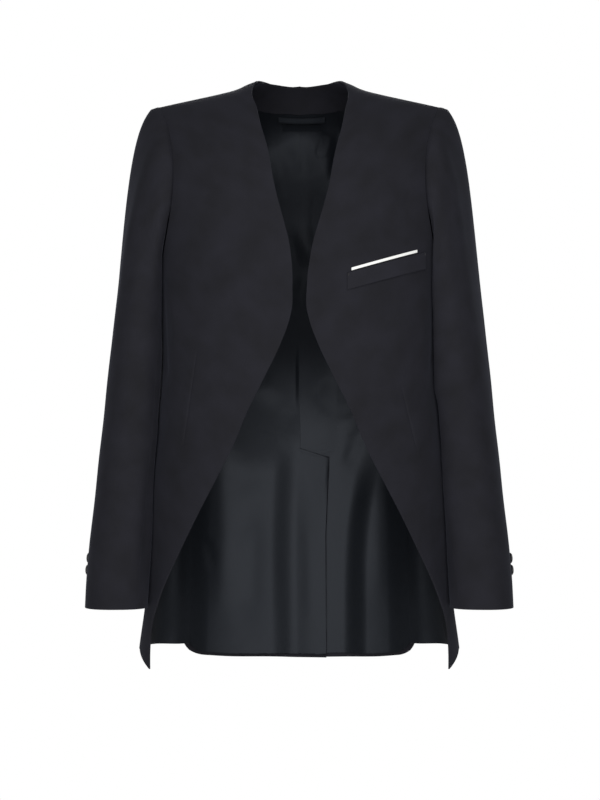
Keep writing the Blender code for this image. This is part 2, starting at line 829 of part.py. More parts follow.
def add_piece(name, mesh, finish):
    mesh.materials.append(finish)
    piece = bpy.data.objects.new(name, mesh)
    bpy.context.scene.collection.objects.link(piece)
    return piece


def cloth(name, layers, side, wall, finish):
    """A cloth piece: a grid extruded into a wall, its outer and inner faces on their points."""
    outer, inner = layers[0], layers[0] + wall * layers[1]
    count, columns = outer.shape[0] - 1, outer.shape[1] - 1
    made = bmesh.new()
    bmesh.ops.create_grid(made, x_segments=columns, y_segments=count, size=0.5)
    geometry = [*made.verts, *made.edges, *made.faces]
    copied = bmesh.ops.extrude_face_region(made, geom=geometry, use_keep_orig=True)["geom"]
    behind = {item for item in copied if isinstance(item, bmesh.types.BMVert)}
    for vert in made.verts:
        points = inner if vert in behind else outer
        place = points[round((vert.co.y + 0.5) * count), round((vert.co.x + 0.5) * columns)]
        vert.co = Vector(place * (side, 1, 1)) * MM
    bmesh.ops.recalc_face_normals(made, faces=made.faces)
    mesh = bpy.data.meshes.new(name)
    made.to_mesh(mesh)
    made.free()
    mesh.shade_smooth()
    mesh.set_sharp_from_angle(angle=CREASE_ANGLE)
    return add_piece(name, mesh, finish)


def hanger_loop(finish):
    """A soft tube between its two sewn ends, in front of the lining."""
    share = np.linspace(-1, 1, LOOP_POINTS)
    places = LOOP_FROM + (share + 1) / 2 * (LOOP_TO - LOOP_FROM)
    sag = 1 - share**2
    middle = LOOP_GAP + LOOP_THICKNESS / 2
    points = [
        on_lining(place, LOOP_HEIGHT - LOOP_SAG * low, middle + LOOP_STAND * low)[0]
        for place, low in zip(places, sag)
    ]
    made = bmesh.new()
    bmesh.ops.create_circle(made, segments=LOOP_SIDES, radius=0.5, cap_ends=True)
    end = made.faces[:]
    rim = [vert.co.copy() for vert in end[0].verts]
    for number, point in enumerate(points):
        if number > 0:
            end = bmesh.ops.extrude_discrete_faces(made, faces=end)["faces"]
        for vert, flat in zip(end[0].verts, rim):
            vert.co = Vector(point + np.array((0, flat.x * LOOP_THICKNESS, flat.y * LOOP_WIDTH))) * MM
    bmesh.ops.holes_fill(made, edges=made.edges)
    bmesh.ops.recalc_face_normals(made, faces=made.faces)
    mesh = bpy.data.meshes.new("hanger_loop")
    made.to_mesh(mesh)
    made.free()
    return add_piece("hanger_loop", mesh, finish)


def button(name, arm, side, stage, finish):
    """A sewn cuff button, flat on the sleeve beside the hind seam."""
    place, way = sleeve_layers(np.array([math.radians(BUTTON_TURN)]), stage, arm)[:, 0]
    made = bmesh.new()
    radius = BUTTON_DIAMETER / 2 * MM
    bmesh.ops.create_cone(
        made,
        cap_ends=True,
        segments=BUTTON_SIDES,
        radius1=radius,
        radius2=radius,
        depth=BUTTON_THICKNESS * MM,
    )
    rims = [edge for edge in made.edges if abs(edge.verts[0].co.z - edge.verts[1].co.z) < FLAT_RIM * MM]
    bmesh.ops.bevel(made, geom=rims, offset=BUTTON_EDGE * MM, segments=2, profile=0.5, affect="EDGES")
    mesh = bpy.data.meshes.new(name)
    made.to_mesh(mesh)
    made.free()
    piece = add_piece(name, mesh, finish)
    away = -way * (side, 1, 1)
    piece.location = Vector(place * (side, 1, 1) + away * (BUTTON_THICKNESS / 2 + LAYER_GAP)) * MM
    piece.rotation_euler = Vector(away).to_track_quat("Z", "Y").to_euler()
    return piece


def main():
    for obj in list(bpy.data.objects):
        bpy.data.objects.remove(obj)
    wool = material("wool_cloth", (0.016, 0.016, 0.021), 0.75)
    satin = material("lining_satin", (0.022, 0.026, 0.030), 0.35)
    pale = material("pale_satin", (0.80, 0.80, 0.78), 0.45)
    dark = material("dark_button", (0.012, 0.012, 0.014), 0.35)
    for arm, side in (("left", 1), ("right", -1)):
        cloth(f"front_{arm}", panel("front", arm), side, FRONT_WALL, wool)
        cloth(f"side_{arm}", panel("side", arm), side, SHELL_WALL, wool)
        cloth(f"back_{arm}", panel("back", arm), side, SHELL_WALL, wool)
        cloth(f"sleeve_top_{arm}", sleeve_sheet(arm, True), side, SHELL_WALL, wool)
        cloth(f"sleeve_under_{arm}", sleeve_sheet(arm, False), side, SHELL_WALL, wool)
        cloth(f"lining_back_{arm}", lining_sheet(arm), side, LINING_WALL, satin)
        cloth(f"lining_side_{arm}", side_lining_sheet(arm), side, LINING_WALL, satin)
        for number, stage in enumerate(BUTTON_STAGES, 1):
            button(f"cuff_button_{arm}_{number}", arm, side, stage, dark)
    cloth("back_neck_facing", facing_sheet(), 1, LINING_WALL, wool)
    cloth("pocket_welt", band_sheet(WELT, WELT_WALL), 1, WELT_WALL, wool)
    cloth("pocket_strip", band_sheet(STRIP, STRIP_WALL), 1, STRIP_WALL, pale)
    cloth("label", label_sheet(), 1, LABEL_WALL, satin)
    hanger_loop(satin)


main()
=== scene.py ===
"""The looks of a collarless cutaway blazer, filled out as if it were worn and empty inside.

The form follows the solids' own sizes, in millimetres, turned to metres where a mesh is made.
The origin is the middle of the neck opening, +Z is up, the front faces -Y and the wearer's left
is +X. Each cloth piece is a thin shell on the body's or the sleeve's form, finer than its solid,
with the soft creases that worn cloth has.
"""

import math

import bmesh
import bpy
import numpy as np
from bpy.props import FloatProperty, FloatVectorProperty, PointerProperty
from mathutils import Matrix, Vector


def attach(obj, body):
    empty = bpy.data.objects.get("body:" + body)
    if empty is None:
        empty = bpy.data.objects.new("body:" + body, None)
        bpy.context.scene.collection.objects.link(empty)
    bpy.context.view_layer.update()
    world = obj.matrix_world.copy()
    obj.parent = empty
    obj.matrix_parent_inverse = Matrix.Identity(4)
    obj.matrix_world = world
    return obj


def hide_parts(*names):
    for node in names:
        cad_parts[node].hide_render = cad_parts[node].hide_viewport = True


bl_info = {
    "name": "Collarless blazer",
    "version": (1, 0, 0),
    "blender": (4, 5, 0),
    "location": "3D View > Sidebar > Blazer",
    "description": "Makes the cloth, the trims and the studio of a collarless cutaway blazer",
    "category": "Add Mesh",
}

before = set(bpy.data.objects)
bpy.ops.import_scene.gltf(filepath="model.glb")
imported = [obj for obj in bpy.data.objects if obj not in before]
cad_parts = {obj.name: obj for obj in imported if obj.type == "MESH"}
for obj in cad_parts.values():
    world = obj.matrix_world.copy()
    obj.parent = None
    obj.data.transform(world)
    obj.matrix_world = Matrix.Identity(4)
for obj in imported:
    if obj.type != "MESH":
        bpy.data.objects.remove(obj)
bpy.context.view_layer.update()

MM = 0.001
HALF_TURN = math.pi
QUARTER_TURN = math.pi / 2
ARMS = (("left", 1), ("right", -1))

# Walls of the cloth, and the room between pieces
FRONT_WALL = 2.2
SHELL_WALL = 1.6
LINING_WALL = 0.9
SEAM_GAP = 0.1
LAYER_GAP = 0.45
SHOULDER_GAP = 0.2
ARM_CLEARANCE = 2.6

# The neck, the shoulders and the lengths
NECK_HALF_WIDTH = 53
SHOULDER_HALF_WIDTH = 177
FRONT_TIP = 740
FRONT_SIDE_HEM = 719
LINING_LIFT = 6
CHEST_DEPTH = 200
CHEST_RUN = 240
SHOULDER_FADE = 230


def table(columns, *rows):
    """A table of sizes, as one array for each named column."""
    return dict(zip(columns.split(), np.array(rows, float).T))


# The body at each depth under the shoulder line: half its width, and how far it reaches out
BODY = table(
    "depth half_width front back",
    (0, 186, 114, 114),
    (60, 187, 114, 114),
    (120, 187, 114, 114),
    (180, 184, 114, 113),
    (245, 176.5, 114, 110),
    (300, 174, 111, 104),
    (365, 173, 107, 98),
    (430, 178, 106, 99),
    (480, 183, 108, 104),
    (540, 188, 110, 110),
    (600, 191, 112, 114),
    (660, 195, 114, 117),
    (720, 203, 116, 119),
    (780, 208, 118, 121),
)

# The shoulder line's rise over its own level, by the distance from the centre
SHOULDER = table(
    "across rise",
    (0, 21.2),
    (20, 17.1),
    (40, 7.5),
    (50, 1.4),
    (56, -1.5),
    (62, -3.8),
    (68, -6.3),
    (75, -9.8),
    (83, -12.7),
    (98, -16.5),
    (128, -23.1),
    (159, -29.6),
    (190, -36.3),
)

# The back neck edge, by the distance from the centre
BACK_NECK = table(
    "across depth",
    (0, 19.3),
    (10, 18.4),
    (19, 15.6),
    (28.5, 11.2),
    (38, 6.4),
    (43.5, 3),
    (48, 0.8),
    (53, 0),
    (60, 0),
)

# The open front edge: the neckline, the closest place and the cutaway. Sway is how far both
# edges lie towards the wearer's left.
FRONT_EDGE = table(
    "height across sway",
    (-745, 187, 0),
    (-725, 187.4, 0),
    (-709, 187, 0),
    (-681, 184.3, 0),
    (-652, 175.8, 0),
    (-621, 162.3, 0),
    (-583, 144, 0),
    (-543, 124, 0),
    (-503, 103, 0),
    (-462, 82, 0),
    (-417, 63, 0),
    (-378, 43.4, 0),
    (-338, 23.8, 0),
    (-309, 12.8, 0),
    (-290, 8.6, 0),
    (-268, 8.7, 0.4),
    (-250, 9.3, 1),
    (-234, 11, 1.6),
    (-210, 14.9, 2.2),
    (-186, 21.4, 2.6),
    (-157, 29.5, 2.8),
    (-134, 35, 2.8),
    (-115, 38.2, 2.8),
    (-92, 43, 2.8),
    (-70, 49.3, 2.6),
    (-38, 56.5, 2),
    (-22, 60.6, 1.2),
    (-8, 58, 0.5),
    (0, 53, 0),
)

# The armhole's front and back edges above the side panel
ARMHOLE = table(
    "depth front back",
    (0, 177, 177),
    (17, 170, 173),
    (50, 161.5, 169.5),
    (90, 157, 167.5),
    (140, 157.5, 166.5),
    (190, 164, 166.5),
)

# The foot of the armhole, which is the side panel's top edge, by the turn round the body
UNDERARM = table(
    "turn depth",
    (74, 231),
    (80, 241),
    (88, 245),
    (97, 242),
    (106, 232),
    (115, 214),
)
CORNERS = {"front": 0, "back": 5}

# The seams beside the side panel, as turns round the body in degrees
SIDE_SEAMS = table(
    "depth front back",
    (200, 74, 115),
    (240, 74, 115),
    (380, 77, 120),
    (560, 80, 130),
    (780, 83, 139),
)

# The hem of the back panels, with its round corner at the side
BACK_HEM = table(
    "across depth",
    (0, 744.5),
    (54, 743.5),
    (104, 742),
    (117, 740.5),
    (127, 739),
    (135, 735.5),
    (141, 730.5),
    (146, 722),
    (160, 722),
)

# The centre back vent: its underlap is one with the wearer's right back panel
VENT_TOP = 468
VENT_SLANT = 12
VENT_EDGE = table(
    "depth across",
    (468, 0),
    (480, 38),
    (520, 36),
    (580, 33.5),
    (750, 34.5),
)
UNDERLAP_REACH = 34
UNDERLAP_FOLD = 32
UNDERLAP_RISE = 60

# Sleeve sections: the outermost edge, the width and the turn for each arm, and the section's
# middle and size from front to back
SLEEVE = table(
    "height outer_right outer_left wide_right wide_left middle deep turn_right turn_left",
    (-664, 268.2, 268.2, 79, 80, -45, 84, 4, 6),
    (-630, 266.8, 266.8, 80, 81, -41, 86, 4, 6),
    (-580, 262.9, 262.9, 81, 84, -33, 91, 3, 7),
    (-530, 257.9, 257.8, 80, 84, -22, 97, 3, 9),
    (-480, 253.6, 253.8, 79, 83, -11, 104, 2, 11),
    (-430, 248.4, 248.8, 78, 83, -2, 111, 2, 12),
    (-380, 243.8, 244.9, 77, 82, 5, 119, 1, 13),
    (-329, 238.1, 239.7, 73, 80, 9, 128, 1, 13),
    (-300, 234.8, 236.8, 70, 79, 10, 134, 1, 13),
    (-285, 233.0, 235.2, 69, 78, 10, 138, 1, 13),
)
SLEEVE_SQUARENESS = 2.35
SLEEVE_FOOT = -664
CAP_FOOT = -285
CAP_STEP = 10
CAP_LEAD = 0.47
CAP_CLEARING = 34
SLEEVE_GAP = 0.1
# The radius by which a seam gap becomes an angle round the sleeve
SLEEVE_RADIUS = 30
CLEAR_SOFTNESS = 3
LOG_BASE = 1.6
ARMHOLE_FOOT_TURN = 88
# How the sleeve leaves the armhole: less sideways, more to front or back, and down at its foot
HEAD_SIDEWAYS, HEAD_FORWARD, HEAD_UP, HEAD_DOWN = 0.85, 0.34, 0.06, 1.06

# Where the two sleeve seams run, from cuff (0) to head (1) to armhole (2), as turns from the
# outermost line, back side positive
SLEEVE_SEAMS = table(
    "stage hind inner",
    (0, 43, -128),
    (0.28, 58, -128),
    (0.62, 84, -128),
    (1, 104, -128),
    (2, 112, -128),
)

# The long ridge on the upper arm, by height: its turn from the outermost line, and its rise
SLEEVE_RIDGE = table(
    "height turn rise",
    (-420, -30, 0),
    (-330, -34, 1.0),
    (-250, -40, 2.4),
    (-170, -46, 3.2),
    (-90, -48, 2.6),
    (-45, -50, 0.8),
    (-30, -50, 0),
)
RIDGE_SPREAD = 15

# Long soft folds of the back lining: places across, and how far they stand off the cloth
LINING_FOLDS = table(
    "across_top across_foot top foot spread rise",
    (4, 12, -430, -742, 15, 0.8),
    (56, 44, -44, -130, 8, 3.5),
)
FOLD_FADE = 70

# The back neck facing's lower edge, by the distance from the centre, and the share of the
# back's width that it takes
FACING_EDGE = table(
    "across depth",
    (0, 50.5),
    (30, 42),
    (50, 30.3),
    (70, 17.5),
    (82, 7.5),
)
FACING_SHARE = 0.455
FACING_END = 0.47

# The breast welt on the wearer's left front, and the pale strip above it
WELT = {"across": 107.3, "height": -245.8, "length": 101.5, "width": 20, "slope": 15.9}
WELT_WALL = 1.5
# Cut on another grain than the front, the welt takes the light a little more; that sheen is painted in, as
# the welt's wool colours lightened by this factor
WELT_PAINTED_SHEEN = 1.25
STRIP = {"across": 104.5, "height": -232.8, "length": 85, "width": 3.4, "slope": 16.3}
STRIP_WALL = 1.0
# How quickly a band's fullness falls off at its long and its short edges
BAND_ROUND_LOW, BAND_ROUND_ALONG = 4, 16
# The bar tacks: how far in from the welt's ends and down from its top, their width, the rows on
# each side of the middle one, and how far they stand out, as a share of the thread
TACK_INSET, TACK_DROP, TACK_WIDTH, TACK_ROWS, TACK_LIFT = 1.6, 2.2, 1.8, 3, 0.2
STITCH_SIDES, STITCH_RINGS = 10, 6

# The hanger loop, and the blank label under it
LOOP_FROM, LOOP_TO = -28.5, 34.5
LOOP_HEIGHT = -36.6
LOOP_SAG = 1.6
LOOP_WIDTH = 8
LOOP_THICKNESS = 3.2
LOOP_GAP = 1.3
LOOP_STAND = 1.2
LOOP_END = 0.07
LOOP_PINCH = 0.45
LABEL_FROM, LABEL_TO = -22, 29
LABEL_TOP, LABEL_FOOT = -43, -52
LABEL_GAP = 0.7
LABEL_WALL = 0.7

# The cuff buttons: two on each sleeve, beside the hind seam
BUTTON_STAGES = (0.157, 0.118)
BUTTON_THICKNESS = 3.6
BUTTON_TURN = 26
# Half the button's profile, from the middle of its underside round to the middle of its dish
BUTTON_PROFILE = (
    (0, 0),
    (3.6, 0.05),
    (5.9, 0.7),
    (6.55, 1.5),
    (6.75, 2.3),
    (6.6, 3.0),
    (6.1, 3.5),
    (5.4, 3.6),
    (4.7, 3.3),
    (4.2, 2.75),
    (3.6, 2.5),
    (0, 2.45),
)
BUTTON_STEPS = 48
WELD = 0.01
HOLE_PLACE, HOLE_RADIUS, HOLE_SIDES = 1.35, 0.75, 14
# The buttons' thread: strands side by side, bowed over the dish and pressed a little flat
THREAD_STRANDS, STRAND_SPACING = 3, 0.9
STRAND_SINK, STRAND_FLATNESS = 0.35, 0.6
STRAND_SIDES, STRAND_STEPS = 8, 12
DISH_HEIGHT, SHANK_HEIGHT, SHANK_SIDES = 2.45, 0.4, 16

# How square the body's sections are, and how round it runs over the shoulders
FRONT_SQUARENESS = 2.4
BACK_SQUARENESS = 2.6
FRONT_CROWN = 2.1
BACK_CROWN = 2.5
# Points along a curve that is measured or read back, and the rounds that settle a depth
FINE = 120
ROUNDS, CLEAR_ROUNDS = 12, 4
# Small steps that find a direction: round the body, down it, and both ways on a sleeve
TURN_STEP, RUN_STEP, SLEEVE_STEP = 0.01, 0.5, 0.02
# Keeps a point above the armhole's corner, where the side seam starts
CORNER_MARGIN = 0.01

# How finely the shells are divided
FRONT_ROWS, BACK_ROWS, SIDE_ROWS = 150, 150, 110
HEAD_FADE_ROWS = 12
NECK_COLUMNS, SHOULDER_COLUMNS, SIDE_COLUMNS = 14, 30, 24
TOP_ROW = 0.9985
TUBE_ROWS, CAP_ROWS = 100, 48
TOP_SLEEVE_COLUMNS, UNDER_SLEEVE_COLUMNS = 68, 34
LINING_LEVEL = 0.8
LINING_COLUMNS, LINING_TOP_ROWS = 96, 34
SLANT_ROWS = 10
# The linings: how far in they lie, where they end, and where cloth turned in gives way to them
LINING_INSET = SHELL_WALL + 2 * LAYER_GAP
LINING_MIDDLE, LINING_SIDE = 0.001, 0.995
LINING_PAST = 1.2
# The vent stands open a little more below its top
VENT_SPREAD, VENT_SPREAD_RUN = 1.1, 50
FACING_GAP = 2.0
FACING_WIDTH = 82
CUFF_TURN_SHARE = 0.045
SIDE_LINING_FOOT, SIDE_LINING_TOP = 0.19, 0.06
FACING_COLUMNS, FACING_ROWS = 40, 14
LABEL_COLUMNS, LABEL_ROWS = 34, 8
BAND_COLUMNS, WELT_ROWS, STRIP_ROWS = 60, 12, 4
WELT_PUFF, STRIP_PUFF = 0.35, 0.2
LOOP_POINTS, LOOP_SIDES = 61, 24

# The dart on each front, as places across and heights of its two ends, and its trough
DARTS = {"left": ((124, -380), (147, -473)), "right": ((125, -335), (145, -470))}
DART_COLUMNS = (-4.5, -2.2, -1.1, -0.5, 0, 0.5, 1.1, 2.2, 4.5)
DART_DEPTH, DART_SPREAD = 0.75, 0.75
DART_PUFF, DART_PUFF_SPREAD = 0.5, 14
DART_FADE = 26
DART_MARGIN = 0.12

# Soft creases, as two ends, how far the middle bows, the spread and the rise. Places along are
# runs of cloth from the front centre or the back centre, the wearer's left positive.
CREASE_RADIUS = 180
FRONT_CREASES = table(
    "along_from height_from along_to height_to bow spread rise",
    (236, -250, 214, -420, 8, 15, -1.6),
    (205, -262, 186, -372, -6, 12, 1.1),
    (262, -330, 214, -362, 4, 9, -0.9),
    (232, -440, 222, -640, -7, 20, 1.6),
    (196, -500, 200, -690, 5, 16, -1.2),
    (96, -120, 150, -205, 9, 17, -0.8),
    (58, -300, 120, -330, 5, 14, -0.5),
    (-240, -246, -218, -402, -9, 16, -1.8),
    (-206, -270, -192, -352, 5, 11, 1.2),
    (-258, -345, -216, -370, -5, 10, -1.0),
    (-236, -452, -226, -655, 9, 21, 1.7),
    (-198, -520, -206, -700, -6, 17, -1.3),
    (-104, -110, -152, -190, -8, 18, -0.7),
    (-52, -306, -112, -338, -6, 13, -0.5),
)
BACK_CREASES = table(
    "along_from height_from along_to height_to bow spread rise",
    (-150, -96, -118, -236, 12, 17, 1.9),
    (-178, -126, -164, -290, -8, 14, -1.7),
    (158, -88, 122, -250, -14, 18, 1.8),
    (186, -130, 166, -276, 9, 13, -1.6),
    (-128, -352, -28, -366, -9, 9, -1.5),
    (-146, -384, -62, -402, 7, 11, 1.3),
    (36, -344, 142, -358, 8, 10, -1.4),
    (58, -392, 152, -380, -6, 10, 1.2),
    (-96, -430, -84, -700, 8, 22, 2.1),
    (-40, -520, -36, -728, -5, 14, -1.3),
    (104, -426, 92, -690, -9, 24, 2.2),
    (150, -470, 160, -712, 6, 16, -1.5),
    (-168, -480, -176, -706, -8, 18, -1.6),
    (0, -84, 4, -250, 3, 20, -1.0),
)
# Along a sleeve, places are turns from the outermost line, in degrees, the back side positive
SLEEVE_ARC = 0.75
SLEEVE_CREASES = {
    "left": table(
        "turn_from height_from turn_to height_to bow spread rise",
        (-62, -62, -104, -128, 7, 9, -1.5),
        (-40, -84, -74, -176, -6, 10, 1.2),
        (-92, -150, -108, -262, 6, 11, -1.7),
        (-28, -208, -66, -262, 5, 10, -0.9),
        (-128, -388, -140, -486, 5, 10, -2.2),
        (-140, -430, -146, -650, -3, 12, -2.6),
        (-88, -356, -122, -410, -6, 9, 1.2),
        (-64, -470, -112, -520, 6, 11, -1.0),
        (-40, -540, -88, -590, 5, 14, 0.8),
        (-96, -560, -104, -652, -5, 13, -1.1),
        (60, -330, 122, -386, 8, 10, -2.1),
        (72, -378, 128, -420, -6, 9, 1.7),
        (44, -440, 104, -470, 6, 11, -1.4),
        (30, -120, 62, -236, 8, 14, -1.3),
    ),
    "right": table(
        "turn_from height_from turn_to height_to bow spread rise",
        (-70, -58, -100, -140, -6, 10, -1.2),
        (-84, -160, -104, -280, 7, 12, -1.8),
        (-20, -230, -58, -300, 6, 11, -0.8),
        (-118, -340, -134, -452, -5, 11, -1.9),
        (-76, -402, -118, -452, 6, 10, 1.0),
        (-52, -486, -100, -545, -6, 13, -1.1),
        (-104, -548, -110, -650, 5, 14, -1.0),
        (-24, -560, -60, -640, 4, 15, 0.9),
        (-138, -452, -144, -660, 3, 12, -3.2),
        (54, -318, 118, -372, 7, 10, -1.9),
        (76, -366, 132, -402, -7, 10, 1.8),
        (40, -424, 100, -462, 5, 12, -1.5),
        (26, -112, 58, -228, 9, 15, -1.2),
    ),
}
CREASE_FADE = 0.32

# Soft creases of the back lining, by places across and heights
LINING_CREASES = table(
    "along_from height_from along_to height_to bow spread rise",
    (-14, -60, 12, -118, 5, 16, 1.3),
    (36, -52, 24, -88, 3, 6, -1.6),
    (-34, -70, -22, -150, 4, 12, 1.1),
    (30, -120, 16, -210, 5, 13, -1.1),
    (-2, -170, 16, -232, 4, 12, 1.3),
    (-28, -180, -12, -270, 6, 14, -1.2),
    (12, -236, 2, -292, -4, 11, 1.2),
    (-60, -372, -10, -436, 7, 17, 1.1),
    (22, -378, 78, -420, -7, 15, -1.2),
    (96, -424, 62, -500, -4, 10, 1.0),
    (60, -430, 46, -500, 4, 9, -0.6),
    (-96, -440, -70, -540, 8, 24, 0.7),
    (-60, -560, -74, -700, -6, 22, 0.9),
    (10, -540, 16, -720, 3, 10, 0.6),
    (-131, -580, -120, -628, 3, 7, 0.9),
)
# Long folds of the back lining with steep sides: the sides' places across at the top, the middle
# and the foot, the heights of the two ends, the steep sides' widths, and the rise. A foot far
# under the hem lets a fold run on past it.
LONG_FOLDS = table(
    "left_top left_middle left_foot right_top right_middle right_foot top foot left_width right_width rise",
    (-178, -178, -180, -13, -20, -19, -396, -900, 30, 36, 9.0),
    (-178, -178, -180, -124, -134, -139, -396, -900, 30, 30, 4.6),
    (98, 78, 74, 174, 176, 178, -440, -900, 34, 30, 8.0),
    (122, 131, 135, 174, 176, 178, -440, -900, 30, 30, 4.4),
    (14, 10, 8, 38.7, 34.1, 35.1, -448, -860, 44, 1.0, 3.8),
    (-46, -46, -46, -3, -3, -3, -326, -428, 50, 3, 1.3),
)
FOLD_FOOT, FOLD_RUN_IN = -745, 110
FOLD_KNOTS = np.array((0, 0.45, 1.0))

# The studio, in metres: the floor, where the camera stands and the lights look, and each
# light's place, size and share of the light's full power
FLOOR_REACH, FLOOR_SQUARES = 1.9, 8
CAMERA_ACROSS, CAMERA_HEIGHT = 0.0009, -0.405
# The camera's sensor in millimetres
SENSOR_WIDTH = 36
AIM = Vector((0, 0, -0.37))
LIGHTS = (
    ("front_light", (0, -3.6, -1.4), (3.2, 1.3), 1.15),
    ("upper_light", (0, -3.6, 0.45), (3.2, 1.2), 0.6),
    ("top_light", (0, -2.9, 2.3), (3.0, 1.6), 1.0),
    ("back_light", (0, 3.4, 1.6), (3.0, 1.2), 0.7),
)


def smooth(at, knots, values):
    """A smooth curve through a table's rows, read where asked."""
    at = np.clip(np.asarray(at, float), knots[0], knots[-1])
    slopes = np.gradient(values, knots)
    step = np.clip(np.searchsorted(knots, at, side="right") - 1, 0, len(knots) - 2)
    span = knots[step + 1] - knots[step]
    t = (at - knots[step]) / span
    ends = (1 + 2 * t) * (1 - t) ** 2 * values[step] + t * t * (3 - 2 * t) * values[step + 1]
    leads = t * (1 - t) ** 2 * slopes[step] + t * t * (t - 1) * slopes[step + 1]
    return ends + span * leads


def read(rows, name, at):
    """A table's column, read where its first column has this value."""
    return smooth(at, next(iter(rows.values())), rows[name])


def ease(t):
    """Runs from 0 to 1 with level ends."""
    t = np.clip(t, 0, 1)
    return t * t * (3 - 2 * t)


def unit(vectors):
    return vectors / np.linalg.norm(vectors, axis=-1, keepdims=True)


def creased(along, height, creases):
    """How far soft creases raise the cloth at these places."""
    rise = np.zeros(np.broadcast(along, height).shape)
    for along_from, height_from, along_to, height_to, bow, spread, most in zip(*creases.values()):
        step, drop = along_to - along_from, height_to - height_from
        length = math.hypot(step, drop)
        share = ((along - along_from) * step + (height - height_from) * drop) / length**2
        off = ((height - height_from) * step - (along - along_from) * drop) / length
        off = off - bow * 4 * share * (1 - share)
        ends = ease(share / CREASE_FADE) * ease((1 - share) / CREASE_FADE)
        rise = rise + most * ends * np.exp(-((off / spread) ** 2))
    return rise


def folded(points):
    """How far the long folds raise the lining at these points."""
    rise = np.zeros(points.shape[:-1])
    across, height = points[..., 0], points[..., 2]
    for *edges, top, foot, left_width, right_width, most in zip(*LONG_FOLDS.values()):
        share = np.clip((top - height) / (top - FOLD_FOOT), 0, 1)
        left, right = (smooth(share, FOLD_KNOTS, np.array(places)) for places in (edges[:3], edges[3:]))
        # Each steep side has its place at its own middle
        sides = ease((across - left) / left_width + 0.5) * ease((right - across) / right_width + 0.5)
        fade = min(FOLD_RUN_IN, (top - foot) / 2)
        rise += most * sides * ease((top - height) / fade) * ease((height - foot) / fade)
    return rise


def depth_of(run):
    """Depth under the shoulder line, from the length of cloth run over the shoulder."""
    lean = np.clip(run / CHEST_RUN, 0, 1) * QUARTER_TURN
    crest = CHEST_DEPTH * (1 - np.cos(lean) ** (2 / BACK_CROWN))
    return np.where(run < CHEST_RUN, crest, CHEST_DEPTH + run - CHEST_RUN)


def run_of(depth):
    share = np.clip(1 - np.asarray(depth, float) / CHEST_DEPTH, 0, 1)
    lean = np.arccos(share ** (BACK_CROWN / 2))
    return np.where(
        np.asarray(depth) < CHEST_DEPTH, lean / QUARTER_TURN * CHEST_RUN, depth - CHEST_DEPTH + CHEST_RUN
    )


def half_width(depth):
    return read(BODY, "half_width", depth)


def reach(depth, is_back):
    """How far the body stands out from the shoulder line, nothing at the line itself."""
    full = read(BODY, "back" if is_back else "front", depth)
    crown = BACK_CROWN if is_back else FRONT_CROWN
    share = np.clip(1 - depth / CHEST_DEPTH, 0, 1)
    return full * (1 - share**crown) ** (1 / crown) + SHOULDER_GAP


def lift(across, depth):
    rise = read(SHOULDER, "rise", np.abs(across))
    return rise * (1 - ease(depth / SHOULDER_FADE))


def body(turn, depth):
    """Points on the outer face: turn is 0 at the front centre, pi at the back centre."""
    turn, depth = np.broadcast_arrays(np.asarray(turn, float), np.asarray(depth, float))
    is_back = turn > QUARTER_TURN
    power = 2 / np.where(is_back, BACK_SQUARENESS, FRONT_SQUARENESS)
    sine, cosine = np.sin(turn), np.cos(turn)
    across = half_width(depth) * np.sign(sine) * np.abs(sine) ** power
    out = np.where(is_back, reach(depth, True), reach(depth, False)) * np.abs(cosine) ** power
    out = np.maximum(out, SHOULDER_GAP * (1 - ease(depth / SHOULDER_FADE)))
    return np.stack((across, np.where(is_back, out, -out), lift(across, depth) - depth), -1)


def inward(turn, depth):
    """The direction from the outer face into the body."""
    run = run_of(depth)
    along = body(turn + TURN_STEP, depth) - body(turn - TURN_STEP, depth)
    under, over = depth_of(run + RUN_STEP), depth_of(np.maximum(run - RUN_STEP, 0))
    return unit(np.cross(along, body(turn, under) - body(turn, over)))


def turn_at(across, depth, is_back):
    """The turn round the body of a place this far from the centre."""
    squareness = BACK_SQUARENESS if is_back else FRONT_SQUARENESS
    share = np.clip(np.abs(across) / half_width(depth), 0, 1)
    turn = np.sign(across) * np.arcsin(share ** (squareness / 2))
    return HALF_TURN - turn if is_back else turn


def depth_at(across, height):
    """The depth under the shoulder line of a place seen at this height."""
    depth = -height
    for _ in range(ROUNDS):
        depth = np.maximum(lift(across, depth) - height, 0)
    return depth


def edge_across(depth, side):
    """The open front edge's distance from the centre, on one side."""
    across = NECK_HALF_WIDTH
    for _ in range(ROUNDS):
        height = lift(across, depth) - depth
        across = read(FRONT_EDGE, "across", height)
    return across + side * read(FRONT_EDGE, "sway", height)


def seam_turn(depth, name):
    return np.radians(read(SIDE_SEAMS, name, depth))


def outer_turn(depth, name):
    """The armhole above the side panel's top corner, and the side seam below it."""
    foot = UNDERARM["depth"][CORNERS[name]]
    foot_turn = math.radians(UNDERARM["turn"][CORNERS[name]])
    if depth >= foot:
        return float(seam_turn(depth, name))
    depths = np.append(ARMHOLE["depth"], foot)
    places = np.append(ARMHOLE[name], body(foot_turn, foot)[0])
    return float(turn_at(smooth(depth, depths, places), depth, name == "back"))


def path_run(points):
    """The length of cloth run at each point of a path."""
    return np.append(0, np.cumsum(np.linalg.norm(np.diff(points, axis=0), axis=1)))


def row(first, last, depths, shares):
    """Turns between two seams, parted by shares of the cloth, half a seam gap in from each."""
    fine = np.linspace(first, last, FINE)
    run = path_run(body(fine, depths.mean()))
    return np.interp(SEAM_GAP / 2 + shares * (run[-1] - SEAM_GAP), run, fine)


def even_levels(rows):
    """Even levels from foot to top, with one more just under the top."""
    return np.concatenate((np.linspace(0, 1, rows + 1)[:-1], (TOP_ROW, 1)))


def rows_between(top, foot, levels):
    """The depths along a panel's rows, from foot to top, so that both outlines are followed."""
    run_top, run_foot = run_of(top), run_of(foot)
    return [depth_of(run_foot + level * (run_top - run_foot)) for level in levels]


